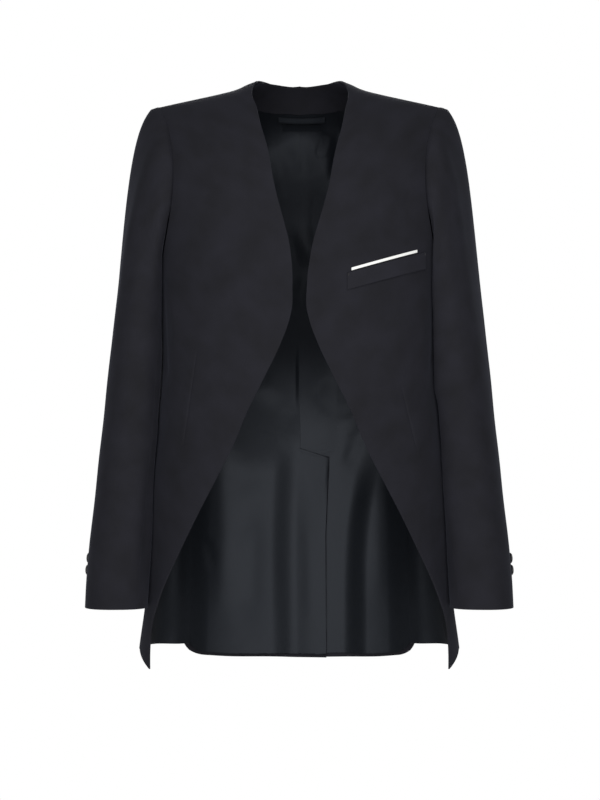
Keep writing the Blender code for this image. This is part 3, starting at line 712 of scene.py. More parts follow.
def moved_in(layers, by):
    return np.stack((layers[0] + np.asarray(by)[..., None] * layers[1], layers[1]))


def sheet(turns, depths, side):
    """Two layers for each point: its place on the creased outer face, and the way into the body."""
    layers = np.stack((body(turns, depths), inward(turns, depths)))
    height = layers[0, ..., 2]
    from_front = turns * CREASE_RADIUS * side
    from_back = (HALF_TURN - turns) * CREASE_RADIUS * side
    rise = creased(from_front, height, FRONT_CREASES) + creased(from_back, height, BACK_CREASES)
    return moved_in(layers, -rise)


def dart_place(arm, height):
    """How far from the centre the dart's line runs at a height."""
    (across_top, top), (across_foot, foot) = DARTS[arm]
    return across_top + (top - np.clip(height, foot, top)) / (top - foot) * (across_foot - across_top)


def dart_shares(shares, first, last, depth, arm):
    """A front's columns, drawn together beside the dart."""
    fine = np.linspace(first, last, FINE)
    path = body(fine, depth)
    run = path_run(path)
    middle = np.interp(dart_place(arm, -depth), path[:, 0], run) / run[-1]
    least = DART_COLUMNS[-1] / run[-1] + DART_MARGIN
    near = np.clip(middle, least, 1 - least) + np.array(DART_COLUMNS) / run[-1]
    count = len(shares) - len(near)
    before = count // 2
    front = np.linspace(0, near[0], before + 1)[:-1]
    behind = np.linspace(near[-1], 1, count - before + 1)[1:]
    return np.concatenate((front, near, behind))


def dart_sunk(layers, arm):
    """A front's points, sunk along the dart's seam and raised a little beside it."""
    across, height = layers[0, ..., 0], layers[0, ..., 2]
    (_, top), (_, foot) = DARTS[arm]
    off = across - dart_place(arm, height)
    ends = ease((top - height) / DART_FADE) * ease((height - foot) / DART_FADE)
    puff = DART_PUFF * np.exp(-((off / DART_PUFF_SPREAD) ** 2))
    trough = DART_DEPTH * np.exp(-((off / DART_SPREAD) ** 2))
    return moved_in(layers, ends * (trough - puff))


def front_sheet(arm, side):
    shares = np.linspace(0, 1, NECK_COLUMNS + SHOULDER_COLUMNS)
    foot = FRONT_TIP + (FRONT_SIDE_HEM - FRONT_TIP) * shares
    found = []
    for depths in rows_between(0 * shares, foot, even_levels(FRONT_ROWS)):
        first = float(turn_at(edge_across(depths[0], side), depths[0], False))
        last = outer_turn(depths[-1], "front")
        near = dart_shares(shares, first, last, depths.mean(), arm)
        level = np.interp(near, shares, depths)
        found.append(sheet(row(first, last, level, near), level, side))
    return dart_sunk(np.stack(found, 1), arm)


def back_shares():
    """Columns of a back panel: even over the neck, then over the shoulder."""
    neck = NECK_HALF_WIDTH / SHOULDER_HALF_WIDTH
    return np.concatenate((np.linspace(0, neck, NECK_COLUMNS), np.linspace(neck, 1, SHOULDER_COLUMNS)[1:]))


def back_top(share):
    """The back neck edge's depth, nothing along the shoulder seam."""
    return read(BACK_NECK, "depth", SHOULDER_HALF_WIDTH * share)


def back_foot(share):
    """The back hem's depth: the last column meets the side panel's hem."""
    return read(BACK_HEM, "depth", share * BACK_HEM["across"][-2])


def vent_place(depth):
    """How far past the centre the underlap's edge lies."""
    return np.interp(depth, VENT_EDGE["depth"], VENT_EDGE["across"])


def back_levels():
    """Even levels from hem to top, with rows at both ends of the vent's slanted top."""
    run_foot, run_top = run_of(BACK_HEM["depth"][0]), run_of(BACK_NECK["depth"][0])
    vent_foot = (run_foot - run_of(VENT_TOP + VENT_SLANT)) / (run_foot - run_top)
    vent_top = (run_foot - run_of(VENT_TOP)) / (run_foot - run_top)
    below = round(BACK_ROWS * vent_foot)
    lower = np.linspace(0, vent_foot, below + 1)
    slant = np.linspace(vent_foot, vent_top, SLANT_ROWS)[1:-1]
    upper = np.linspace(vent_top, 1, BACK_ROWS - below)
    return np.concatenate((lower, slant, upper[:-1], (TOP_ROW, 1)))


def back_sheet(side):
    """A back panel. The wearer's right one carries the underlap."""
    shares = back_shares()
    found = []
    for depths in rows_between(back_top(shares), back_foot(shares), back_levels()):
        past = vent_place(depths[0]) if side < 0 else 0
        first = float(turn_at(-past, depths[0], True))
        layers = sheet(row(first, outer_turn(depths[-1], "back"), depths, shares), depths, side)
        if side < 0:
            under = ease((UNDERLAP_REACH - layers[0, :, 0]) / UNDERLAP_FOLD)
            under = under * ease((depths[0] - VENT_TOP + UNDERLAP_RISE) / UNDERLAP_RISE)
            layers = moved_in(layers, under * LINING_INSET)
        found.append(layers)
    return np.stack(found, 1)[:, :, ::-1]


def side_sheet(side):
    shares = np.linspace(0, 1, SIDE_COLUMNS + 1)
    turns_top = UNDERARM["turn"][0] + shares * (UNDERARM["turn"][-1] - UNDERARM["turn"][0])
    top = read(UNDERARM, "depth", turns_top)
    foot = FRONT_SIDE_HEM + (BACK_HEM["depth"][-1] - FRONT_SIDE_HEM) * shares
    found = []
    for depths in rows_between(top, foot, np.linspace(0, 1, SIDE_ROWS + 1)):
        first, last = seam_turn(depths[0], "front"), seam_turn(depths[-1], "back")
        found.append(sheet(row(float(first), float(last), depths, shares), depths, side))
    return np.stack(found, 1)


SHEETS = {}


def panel(name, arm):
    """A body panel's sheet, kept for the pieces that lie inside it."""
    side = dict(ARMS)[arm]
    if (name, arm) not in SHEETS:
        if name == "front":
            SHEETS[name, arm] = front_sheet(arm, side)
        else:
            SHEETS[name, arm] = back_sheet(side) if name == "back" else side_sheet(side)
    return SHEETS[name, arm]


def inside(layers, rows, columns, by):
    """Places on a panel, moved in by this much: rows and columns count its own, in parts."""
    rows, columns = np.broadcast_arrays(np.asarray(rows, float), np.asarray(columns, float))
    low = np.clip(np.floor(rows).astype(int), 0, layers.shape[1] - 2)
    left = np.clip(np.floor(columns).astype(int), 0, layers.shape[2] - 2)
    up, across = (rows - low)[..., None], (columns - left)[..., None]
    foot = layers[:, low, left] * (1 - across) + layers[:, low, left + 1] * across
    top = layers[:, low + 1, left] * (1 - across) + layers[:, low + 1, left + 1] * across
    points, ways = foot * (1 - up) + top * up
    return moved_in(np.stack((points, unit(ways))), by)


def back_row_at(share, run):
    """The back panel's row, in parts, at this run of cloth on the column of this share."""
    run_foot, run_top = run_of(back_foot(share)), run_of(back_top(share))
    levels = back_levels()
    return np.interp((run_foot - run) / (run_foot - run_top), levels, np.arange(len(levels)))


def back_column_at(share):
    last = len(back_shares()) - 1
    return last - np.interp(share, back_shares(), np.arange(last + 1))


def back_share_at(across, depth):
    """The share of the back's width that lies within this distance of the centre."""
    path = body(np.linspace(HALF_TURN, outer_turn(depth, "back"), FINE), depth)
    run = path_run(path)
    return np.interp(across, path[:, 0], run / run[-1])


def fold_rise(points):
    """How far the lining stands off the cloth at these points."""
    across, height = points[..., 0], points[..., 2]
    rise = np.maximum(creased(across, height, LINING_CREASES), -LAYER_GAP) + folded(points)
    for across_top, across_foot, top, foot, spread, most in zip(*LINING_FOLDS.values()):
        share = (top - height) / (top - foot)
        middle = across_top + share * (across_foot - across_top)
        fade = min(FOLD_FADE, (top - foot) / 2)
        ends = ease((top - height) / fade)
        if foot > -VENT_TOP:
            ends = ends * ease((height - foot) / fade)
        rise += most * ends * np.exp(-(((across - middle) / spread) ** 2))
    return rise


def facing_run(share):
    """The run of cloth at the back neck facing's lower edge, nothing beyond its end."""
    depth = read(FACING_EDGE, "depth", SHOULDER_HALF_WIDTH * share)
    return run_of(np.where(share < FACING_END, depth, 0))


def share_past_vent(layers, number, depth):
    """The share of the left back's width that the underlap's lining takes, along one row."""
    across = np.linspace(0, VENT_EDGE["across"].max() + LINING_PAST, FINE)
    shares = back_share_at(across, depth)
    heights = inside(layers, number, back_column_at(shares), 0.0)[0, :, 2]
    under = across < vent_place(-heights)
    past = LINING_PAST + VENT_SPREAD * float(ease((depth - VENT_TOP) / VENT_SPREAD_RUN))
    return float(back_share_at(across[under].max() + past, depth)) if under.any() else 0.0


def lining_sheet(arm, side):
    """A back lining panel. The right one covers the underlap, the left one starts beside it."""
    layers, levels = panel("back", arm), back_levels()
    runs = run_of(BACK_HEM["depth"][0]) * (1 - levels) + run_of(BACK_NECK["depth"][0]) * levels
    kept = np.nonzero(levels < LINING_LEVEL)[0]
    upper = kept[-1] + np.arange(1, LINING_TOP_ROWS + 1) / LINING_TOP_ROWS
    shares = np.linspace(LINING_MIDDLE, LINING_SIDE, LINING_COLUMNS + 1)
    found = []
    for number in (*kept, *upper):
        past = 0.0
        if side > 0 and number < kept[-1]:
            past = share_past_vent(layers, number, float(depth_of(runs[int(number)])))
        share = past + shares * (1 - past)
        rows = np.full(share.shape, float(number))
        if number == 0:
            rows = back_row_at(share, run_of(back_foot(share) - LINING_LIFT))
        if number > kept[-1]:
            top = back_row_at(share, facing_run(share) + FACING_GAP)
            rows = kept[-1] + (number - kept[-1]) * (top - kept[-1])
        columns = back_column_at(share)
        place = inside(layers, rows, columns, 0.0)[0] * (side, 1, 1)
        found.append(inside(layers, rows, columns, LINING_INSET + fold_rise(place)))
    return np.stack(found, 1)[:, :, ::-1]


def side_lining_sheet(arm, side):
    layers = panel("side", arm)
    rows = np.arange(layers.shape[1], dtype=float)
    rows[0], rows[-1] = SIDE_LINING_FOOT, rows[-1] - SIDE_LINING_TOP
    columns = np.arange(layers.shape[2], dtype=float)
    columns[0], columns[-1] = SIDE_LINING_TOP, columns[-1] - SIDE_LINING_TOP
    rows, columns = np.meshgrid(rows, columns, indexing="ij")
    place = inside(layers, rows, columns, 0.0)[0] * (side, 1, 1)
    return inside(layers, rows, columns, LINING_INSET + folded(place))


def facing_sheet():
    """The back neck facing, from shoulder seam to shoulder seam, inside the back panels."""
    half = np.linspace(FACING_SHARE, 0, FACING_COLUMNS + 1)
    run_low, run_top = facing_run(half), run_of(back_top(half))
    halves = []
    for arm, side in ARMS:
        found = []
        for level in np.linspace(0, 1, FACING_ROWS + 1):
            rows = back_row_at(half, run_low + level * (run_top - run_low))
            found.append(inside(panel("back", arm), rows, back_column_at(half), LINING_INSET))
        halves.append(np.stack(found, 1) * (side, 1, 1))
    left, right = halves
    middle = (left[:, :, -1:] + right[:, :, -1:]) / 2
    return np.concatenate((left[:, :, :-1], middle, right[:, :, -2::-1]), axis=2)


def on_lining(across, height, by):
    """A place on the back lining, by distance from the centre, moved in from it."""
    arm, side = ("left", 1) if across >= 0 else ("right", -1)
    depth = depth_at(across, height)
    share = back_share_at(abs(across), depth)
    rows, columns = back_row_at(share, run_of(depth)), back_column_at(share)
    return inside(panel("back", arm), rows, columns, LINING_INSET + LINING_WALL + by) * (side, 1, 1)


def label_sheet():
    """The blank label, flat on the lining under the loop."""
    places = np.linspace(LABEL_TO, LABEL_FROM, LABEL_COLUMNS + 1)
    found = [
        np.stack([on_lining(place, height, LABEL_GAP) for place in places], 1)
        for height in np.linspace(LABEL_FOOT, LABEL_TOP, LABEL_ROWS + 1)
    ]
    return np.stack(found, 1)


def band_place(shape, along, low, out):
    """A place on a slanted band: along it, up from its middle line, and out from the front."""
    slope = math.radians(shape["slope"])
    across = shape["across"] + along * math.cos(slope)
    height = shape["height"] + along * math.sin(slope) + low / math.cos(slope)
    depth = depth_at(across, height)
    return moved_in(sheet(turn_at(across, depth, False), depth, 1), -out)


def band_sheet(shape, wall, rows, puff):
    """A slanted band on the front, made from the front's own points moved out, a little fuller
    in its middle."""
    along = np.linspace(-0.5, 0.5, BAND_COLUMNS + 1)
    found = []
    for low in np.linspace(-0.5, 0.5, rows + 1):
        full = puff * (1 - (2 * low) ** BAND_ROUND_LOW) * (1 - (2 * along) ** BAND_ROUND_ALONG)
        out = wall + LAYER_GAP + full
        found.append(band_place(shape, along * shape["length"], low * shape["width"], out))
    return np.stack(found, 1)


def armhole_path(name):
    """The armhole's edge from the shoulder down to the foot under the arm."""
    corner = CORNERS[name]
    foot = UNDERARM["depth"][corner]
    depths = depth_of(np.linspace(0, run_of(foot), FINE))
    upper = [body(outer_turn(min(depth, foot - CORNER_MARGIN), name), depth) for depth in depths]
    turns = np.linspace(UNDERARM["turn"][corner], ARMHOLE_FOOT_TURN, FINE)[1:]
    lower = body(np.radians(turns), read(UNDERARM, "depth", turns))
    path = np.concatenate((np.array(upper), lower))
    run = path_run(path)
    return path, run / run[-1]


ARMHOLE_PATHS = {name: armhole_path(name) for name in CORNERS}


def armhole(share, name):
    path, run = ARMHOLE_PATHS[name]
    return np.stack([np.interp(share, run, path[:, axis]) for axis in range(3)], -1)


def section(angles, height, arm):
    """Points of the sleeve's section: angle 0 is outermost, and the back side is positive."""
    sizes = {name: read(SLEEVE, name, height) for name in SLEEVE}
    power = 2 / SLEEVE_SQUARENESS
    lean = np.radians(sizes[f"turn_{arm}"])

    def place(at):
        wide = sizes[f"wide_{arm}"] / 2 * np.sign(np.cos(at)) * np.abs(np.cos(at)) ** power
        deep = sizes["deep"] / 2 * np.sign(np.sin(at)) * np.abs(np.sin(at)) ** power
        return wide * np.cos(lean) + deep * np.sin(lean), deep * np.cos(lean) - wide * np.sin(lean)

    rim, _ = place(np.linspace(-HALF_TURN, HALF_TURN, FINE))
    across, out = place(angles)
    across = across + sizes[f"outer_{arm}"] - rim.max()
    return np.stack((across, sizes["middle"] + out, height + 0 * across), -1)


def clear_of_body(points, clearance):
    """Moves points out to the side until they clear the body by this much."""
    depth = np.maximum(-points[..., 2], 0)
    for _ in range(CLEAR_ROUNDS):
        depth = np.maximum(lift(points[..., 0], depth) - points[..., 2], 0)
    is_back = points[..., 1] > 0
    out = np.where(is_back, reach(depth, True), reach(depth, False)) + clearance
    square = np.where(is_back, BACK_SQUARENESS, FRONT_SQUARENESS)
    share = np.clip(1 - (np.abs(points[..., 1]) / out) ** square, 0, 1)
    least = (half_width(depth) + clearance) * share ** (1 / square)
    over = (points[..., 0] - least) / CLEAR_SOFTNESS
    across = least + CLEAR_SOFTNESS * np.logaddexp(0, over * LOG_BASE) / LOG_BASE
    return np.concatenate((across[..., None], points[..., 1:]), -1)


def armhole_ways(angles):
    """The direction in which the sleeve leaves the armhole, all round it."""
    low = (1 - np.cos(angles)) / 2
    sideways = 1 - HEAD_SIDEWAYS * low**2
    return unit(np.stack((sideways, HEAD_FORWARD * np.sin(angles), HEAD_UP - HEAD_DOWN * low**3), -1))


def cap(angles, level, arm):
    """Points of the sleeve head, from the section under it at 0 to the armhole at 1."""
    foot = section(angles, CAP_FOOT, arm)
    lead_foot = (foot - section(angles, CAP_FOOT - CAP_STEP, arm)) / CAP_STEP
    share = np.abs(angles) / HALF_TURN
    head = np.where((np.sin(angles) >= 0)[:, None], armhole(share, "back"), armhole(share, "front"))
    ways = armhole_ways(angles)
    head = head + SLEEVE_GAP * ways
    far = np.linalg.norm(head - foot, axis=1, keepdims=True)
    t = level
    points = (
        (1 + 2 * t) * (1 - t) ** 2 * foot
        + t * (1 - t) ** 2 * lead_foot * far
        + t * t * (3 - 2 * t) * head
        - t * t * (t - 1) * CAP_LEAD * ways * far
    )
    near = ease((1 - t) * far[:, 0] / CAP_CLEARING)
    return clear_of_body(points, SLEEVE_GAP + near * (ARM_CLEARANCE - SLEEVE_GAP))


def sleeve(angles, stage, arm):
    """Points of the sleeve: stage is 0 at the cuff, 1 under the head and 2 at the armhole."""
    angles = (angles + HALF_TURN) % (2 * HALF_TURN) - HALF_TURN
    if stage <= 1:
        height = SLEEVE_FOOT + stage * (CAP_FOOT - SLEEVE_FOOT)
        points = clear_of_body(section(angles, height, arm), ARM_CLEARANCE)
    else:
        points = cap(angles, stage - 1, arm)
    turn, rise = (read(SLEEVE_RIDGE, name, points[:, 2]) for name in ("turn", "rise"))
    rise = rise * np.exp(-(((np.degrees(angles) - turn) / RIDGE_SPREAD) ** 2))
    away = np.stack((np.cos(np.radians(turn)), np.sin(np.radians(turn)), 0 * turn), -1)
    return points + rise[:, None] * away


def sleeve_layers(angles, stage, arm):
    """The sleeve's creased outer face and the way in from it."""
    step = SLEEVE_STEP
    round_it = sleeve(angles + step, stage, arm) - sleeve(angles - step, stage, arm)
    up = sleeve(angles, min(stage + step, 2), arm) - sleeve(angles, max(stage - step, 0), arm)
    layers = np.stack((sleeve(angles, stage, arm), unit(np.cross(up, round_it))))
    creases = SLEEVE_CREASES[arm]
    creases = {name: sizes * (SLEEVE_ARC if "turn" in name else 1) for name, sizes in creases.items()}
    degrees = (np.degrees(angles) + 180) % 360 - 180
    height = layers[0, ..., 2]
    rise = sum(creased((degrees + whole) * SLEEVE_ARC, height, creases) for whole in (0, -360))
    return moved_in(layers, -rise * ease((2 - stage) * CAP_ROWS / HEAD_FADE_ROWS))


def sleeve_sheet(arm, is_top):
    """The top or under sleeve, between the hind seam and the inner seam."""
    shares = np.linspace(0, 1, (TOP_SLEEVE_COLUMNS if is_top else UNDER_SLEEVE_COLUMNS) + 1)
    tube, head = np.linspace(0, 1, TUBE_ROWS + 1), np.linspace(1, 2, CAP_ROWS + 1)[1:]
    found = []
    for stage in (*tube, *head):
        hind, inner = (np.radians(read(SLEEVE_SEAMS, name, stage)) for name in ("hind", "inner"))
        first, last = (inner, hind) if is_top else (hind, inner + 2 * HALF_TURN)
        inset = SEAM_GAP / 2 / SLEEVE_RADIUS
        angles = first + inset + shares * (last - first - 2 * inset)
        found.append(sleeve_layers(angles, stage, arm))
    return np.stack(found, 1)


# Making pieces

CREASE_ANGLE = math.radians(40)
RIM_SEGMENTS = 3
FRONT_RIM, SOFT_RIM, THIN_RIM = 0.95, 0.55, 0.3
LABEL_RIM, WELT_RIM, STRIP_RIM = 0.25, 0.6, 0.4
# How far a seam's allowance runs on under the neighbour, and the edges where most pieces have one
TUCK, HEAD_TUCK = 1.4, 6.0
SEAMS = {"first": TUCK, "last": TUCK, "top": TUCK}


def hex_colour(text):
    """A linear colour from its sRGB hex value."""
    parts = [int(text[at : at + 2], 16) / 255 for at in (0, 2, 4)]
    return tuple(part / 12.92 if part <= 0.04045 else ((part + 0.055) / 1.055) ** 2.4 for part in parts)


def placed(name, data):
    """Adds an object to the scene."""
    made = bpy.data.objects.new(name, data)
    bpy.context.scene.collection.objects.link(made)
    return made


def meshed(name, made):
    """Turns a bmesh into an object of the scene."""
    mesh = bpy.data.meshes.new(name)
    made.to_mesh(mesh)
    made.free()
    return placed(name, mesh)


def finished(name, made, finish, nodes=(), rim=0.0):
    """Turns a bmesh into a piece that rides on the body, with its finish and its soft rims."""
    piece = meshed(name, made)
    piece.data.shade_smooth()
    piece.data.set_sharp_from_angle(angle=CREASE_ANGLE)
    for one in finish if isinstance(finish, tuple) else (finish,):
        piece.data.materials.append(one)
    if rim:
        bevel = piece.modifiers.new("Soft rim", "BEVEL")
        bevel.width = rim * MM
        bevel.segments = RIM_SEGMENTS
        bevel.limit_method = "ANGLE"
        bevel.angle_limit = CREASE_ANGLE
        bevel.harden_normals = False
    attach(piece, "root")
    if nodes:
        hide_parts(*nodes)
    return piece


def runs_of(points, anchor):
    """Runs of cloth over a sheet: along its rows from one column, and up its columns."""
    along = np.stack([path_run(line) for line in points])
    up = np.stack([path_run(line) for line in points.transpose(1, 0, 2)], 1)
    return along - along[:, anchor : anchor + 1], up


def cut_of(points):
    """The width, length and area that a sheet was cut to, in metres."""
    along, up = runs_of(points, 0)
    across, rise = np.diff(points, axis=1)[:-1], np.diff(points, axis=0)[:, :-1]
    area = np.linalg.norm(np.cross(across, rise), axis=-1).sum()
    return (float(along.max()) * MM, float(up.max()) * MM), float(area) * MM * MM


# A sheet's edges that can be seams, each as its last line and the line before it
EDGES = {
    "top": (np.s_[-1], np.s_[-2]),
    "first": (np.s_[:, 0], np.s_[:, 1]),
    "last": (np.s_[:, -1], np.s_[:, -2]),
}


def shell(name, layers, side, wall, finish, seams=None, rim=SOFT_RIM, anchor=-1, lined=None):
    """A cloth piece: a grid extruded into a wall, its outer and inner faces on their points, with
    the weave laid along its own runs of cloth. At its seams the inner face runs on under the
    neighbour, as an allowance does. Inner faces for which lined is true take the second finish."""
    outer, inner = layers[0], layers[0] + wall * layers[1]
    for edge, tuck in (seams or {}).items():
        last, before = EDGES[edge]
        inner[last] += tuck * unit(outer[last] - outer[before])
    count, columns = outer.shape[0] - 1, outer.shape[1] - 1
    along, up = runs_of(outer, anchor % (columns + 1))
    made = bmesh.new()
    bmesh.ops.create_grid(made, x_segments=columns, y_segments=count, size=0.5)
    geometry = [*made.verts, *made.edges, *made.faces]
    copied = bmesh.ops.extrude_face_region(made, geom=geometry, use_keep_orig=True)["geom"]
    behind = {item for item in copied if isinstance(item, bmesh.types.BMVert)}
    backs = [item for item in copied if isinstance(item, bmesh.types.BMFace)]
    weave = made.loops.layers.uv.new("weave")
    numbers = {
        vert: (round((vert.co.y + 0.5) * count), round((vert.co.x + 0.5) * columns)) for vert in made.verts
    }
    for face in made.faces:
        for loop in face.loops:
            at = numbers[loop.vert]
            loop[weave].uv = (along[at] * MM * side, up[at] * MM)
    if lined is not None:
        for face in backs:
            row_number, column = (min(places) for places in zip(*(numbers[vert] for vert in face.verts)))
            past = along[row_number, column] - along[row_number, 0]
            face.material_index = int(lined(row_number / count, past))
    for vert, at in numbers.items():
        points = inner if vert in behind else outer
        vert.co = Vector(points[at] * (side, 1, 1)) * MM
    bmesh.ops.recalc_face_normals(made, faces=made.faces)
    return finished(name, made, finish, [name.removesuffix("_cloth")], rim)


def declare(layers):
    """Works out the size and area that a sheet was cut to; nothing keeps them."""
    flat, area = cut_of(layers[0])


def stitches(name, places, radius, finish):
    """Sewn stitches: each a rounded length of thread, by its middle, its way and its length."""
    made = bmesh.new()
    for middle, way, length in places:
        turned = Vector(way).to_track_quat("Z", "Y").to_matrix().to_4x4()
        size = Matrix.Diagonal((radius * MM, radius * MM, length / 2 * MM, 1))
        matrix = Matrix.Translation(Vector(middle) * MM) @ turned @ size
        sides = {"u_segments": STITCH_SIDES, "v_segments": STITCH_RINGS}
        bmesh.ops.create_uvsphere(made, radius=1, matrix=matrix, **sides)
    return finished(name, made, finish)


# Materials

WAVE_PERIOD = 2 * math.pi / 20


def node(tree, kind, inputs, **settings):
    """Adds a node with its settings. An input is a value, or the socket that is joined to it."""
    made = tree.nodes.new(f"ShaderNode{kind}")
    for name, value in settings.items():
        setattr(made, name, value)
    for name, value in inputs.items():
        if isinstance(value, bpy.types.NodeSocket):
            tree.links.new(value, made.inputs[name])
        else:
            made.inputs[name].default_value = value
    return made


def finish_of(name, **values):
    """A new material and its shader, with the shader's own sockets set."""
    made = bpy.data.materials.get(name)
    if made:
        return made, None, None
    made = bpy.data.materials.new(name)
    made.use_nodes = True
    shader = made.node_tree.nodes["Principled BSDF"]
    for socket, value in values.items():
        shader.inputs[socket.replace("_", " ")].default_value = value
    return made, made.node_tree, shader


def mixed(tree, factor, first, second):
    """A colour between two, by a factor."""
    return node(tree, "Mix", {0: factor, 6: (*first, 1), 7: (*second, 1)}, data_type="RGBA").outputs[2]


def wool_twill(name="worsted_wool_twill", lift=1.0):
    """Worsted wool, woven as a fine twill and pressed. It is near black with a blue cast, takes
    hardly any gloss, and its short nap lightens it a little at grazing angles."""
    cloth = bpy.context.scene.blazer_cloth
    made, tree, shader = finish_of(
        name,
        Roughness=0.82,
        Specular_IOR_Level=cloth.wool_gloss,
        Sheen_Weight=cloth.wool_nap,
        Sheen_Roughness=0.45,
        Sheen_Tint=(*hex_colour("8F93A6"), 1),
    )
    if not tree:
        return made
    weave = node(tree, "UVMap", {}, uv_map="weave").outputs["UV"]
    # The real rib is about 0.5 mm, too fine to show, so it is drawn four times as coarse
    ribs = {"Vector": weave, "Scale": 2 * WAVE_PERIOD / cloth.rib, "Distortion": 0.6, "Detail": 2.0}
    rib = node(tree, "TexWave", ribs, bands_direction="DIAGONAL")
    yarn = node(tree, "TexNoise", {"Vector": weave, "Scale": 1 / (0.9 * MM), "Detail": 3.0})
    cast = node(tree, "TexNoise", {"Vector": weave, "Scale": 1 / (38 * MM), "Detail": 4.0})
    both = node(tree, "Math", {0: yarn.outputs["Fac"], 1: cast.outputs["Fac"]}, operation="MULTIPLY")
    tone = node(tree, "MapRange", {"Value": both.outputs[0], "From Min": 0.12, "From Max": 0.42})
    # A lift above 1 lightens both yarn colours: painted sheen, as on the welt
    dark, light = ([part * lift for part in shade] for shade in (cloth.wool_dark, cloth.wool_light))
    colour = mixed(tree, tone.outputs["Result"], dark, light)
    tree.links.new(colour, shader.inputs["Base Color"])
    raised = {0: rib.outputs["Fac"], 1: 0.6, 2: yarn.outputs["Fac"]}
    height = node(tree, "Math", raised, operation="MULTIPLY_ADD")
    bump = node(tree, "Bump", {"Height": height.outputs[0], "Strength": 0.45, "Distance": 0.07 * MM})
    tree.links.new(bump.outputs["Normal"], shader.inputs["Normal"])
    return made


# The floats' gloss is a little cooler than the light, as on dark blue grey viscose
SATIN_TINT = (0.82, 0.88, 1.0, 1)


def satin(name, dark, light, roughness, gloss, slack):
    """Satin of long smooth floats, pressed under heat. The floats lie one way, so that light
    runs over its folds in long soft bands, and small slack, in millimetres, shows in their edges."""
    made, tree, shader = finish_of(
        name,
        Roughness=roughness,
        Specular_IOR_Level=gloss,
        Specular_Tint=SATIN_TINT,
        Anisotropic=0.45,
        Sheen_Weight=0.05,
    )
    if not tree:
        return made
    weave = node(tree, "UVMap", {}, uv_map="weave").outputs["UV"]
    stretched = node(tree, "Mapping", {"Vector": weave, "Scale": (1, 0.08, 1)}).outputs["Vector"]
    # The real floats are about 0.1 mm apart, so they are drawn ten times as coarse
    floats = node(tree, "TexNoise", {"Vector": stretched, "Scale": 1 / (1.0 * MM), "Detail": 2.0})
    cast = node(tree, "TexNoise", {"Vector": weave, "Scale": 1 / (30 * MM), "Detail": 3.0})
    colour = mixed(tree, floats.outputs["Fac"], dark, light)
    tree.links.new(colour, shader.inputs["Base Color"])
    fine = node(tree, "Bump", {"Height": floats.outputs["Fac"], "Strength": 0.25, "Distance": 0.02 * MM})
    soft = node(tree, "Bump", {"Height": cast.outputs["Fac"], "Strength": 0.5, "Distance": slack * MM})
    tree.links.new(fine.outputs["Normal"], soft.inputs["Normal"])
    tree.links.new(soft.outputs["Normal"], shader.inputs["Normal"])
    tangent = node(tree, "Tangent", {}, direction_type="UV_MAP", uv_map="weave")
    tree.links.new(tangent.outputs["Tangent"], shader.inputs["Tangent"])
    return made


def lining_satin():
    """Viscose satin lining: dark blue grey, with a clear soft gloss."""
    cloth = bpy.context.scene.blazer_cloth
    look = {"roughness": 0.36, "gloss": cloth.lining_gloss, "slack": 0.5}
    return satin("viscose_satin_lining", cloth.lining_dark, cloth.lining_light, **look)


def pale_satin():
    """Polyester satin of the strip: off-white, nearly even."""
    look = {"roughness": 0.42, "gloss": 0.4, "slack": 0.2}
    return satin("polyester_satin_strip", hex_colour("E6E6E2"), hex_colour("FBFBF8"), **look)


def label_satin():
    """Woven satin ribbon of the label and the loop: black, tight and flat."""
    look = {"roughness": 0.5, "gloss": 0.06, "slack": 0.1}
    return satin("woven_satin_ribbon", hex_colour("0C0E12"), hex_colour("14171B"), **look)


def dark_thread():
    """Spun polyester sewing thread: twisted plies that catch small points of light."""
    values = {"Roughness": 0.6, "Specular_IOR_Level": 0.3, "Sheen_Weight": 0.2}
    made, tree, shader = finish_of("dark_sewing_thread", **values)
    if not tree:
        return made
    place = node(tree, "TexCoord", {}).outputs["Object"]
    plies = {"Vector": place, "Scale": 2 * WAVE_PERIOD / (0.5 * MM), "Distortion": 1.0}
    ply = node(tree, "TexWave", plies, bands_direction="DIAGONAL")
    colour = mixed(tree, ply.outputs["Fac"], hex_colour("0B0B0E"), hex_colour("1D1D22"))
    tree.links.new(colour, shader.inputs["Base Color"])
    bump = node(tree, "Bump", {"Height": ply.outputs["Fac"], "Strength": 0.6, "Distance": 0.05 * MM})
    tree.links.new(bump.outputs["Normal"], shader.inputs["Normal"])
    return made


def cast_polyester():
    """Cast polyester of the buttons, turned and tumbled to a soft gloss, with faint clouds from
    the pour and fine marks from tumbling."""
    trims = bpy.context.scene.blazer_trims
    made, tree, shader = finish_of(
        "cast_polyester_button", Specular_IOR_Level=0.5, Coat_Weight=0.15, Coat_Roughness=0.2
    )
    if not tree:
        return made
    place = node(tree, "TexCoord", {}).outputs["Object"]
    clouds = {"Vector": place, "Scale": 1 / (5 * MM), "Detail": 4.0, "Distortion": 1.2}
    cloud = node(tree, "TexNoise", clouds)
    colour = mixed(tree, cloud.outputs["Fac"], hex_colour("08080A"), trims.button_colour)
    tree.links.new(colour, shader.inputs["Base Color"])
    marks = node(tree, "TexNoise", {"Vector": place, "Scale": 1 / (0.6 * MM), "Detail": 5.0})
    rough = node(tree, "MapRange", {"Value": marks.outputs["Fac"], "To Min": 0.26, "To Max": 0.42})
    tree.links.new(rough.outputs["Result"], shader.inputs["Roughness"])
    return made


def studio_paper():
    """Seamless background paper: even, matt and nearly white."""
    stage = bpy.context.scene.blazer_stage
    made, tree, shader = finish_of("background_paper", Roughness=0.9, Specular_IOR_Level=0.1)
    if not tree:
        return made
    place = node(tree, "TexCoord", {}).outputs["Object"]
    fibre = node(tree, "TexNoise", {"Vector": place, "Scale": 3.0, "Detail": 4.0})
    colour = mixed(tree, fibre.outputs["Fac"], stage.floor_colour, hex_colour("FCFCFC"))
    tree.links.new(colour, shader.inputs["Base Color"])
    return made


# Properties, operators and panel


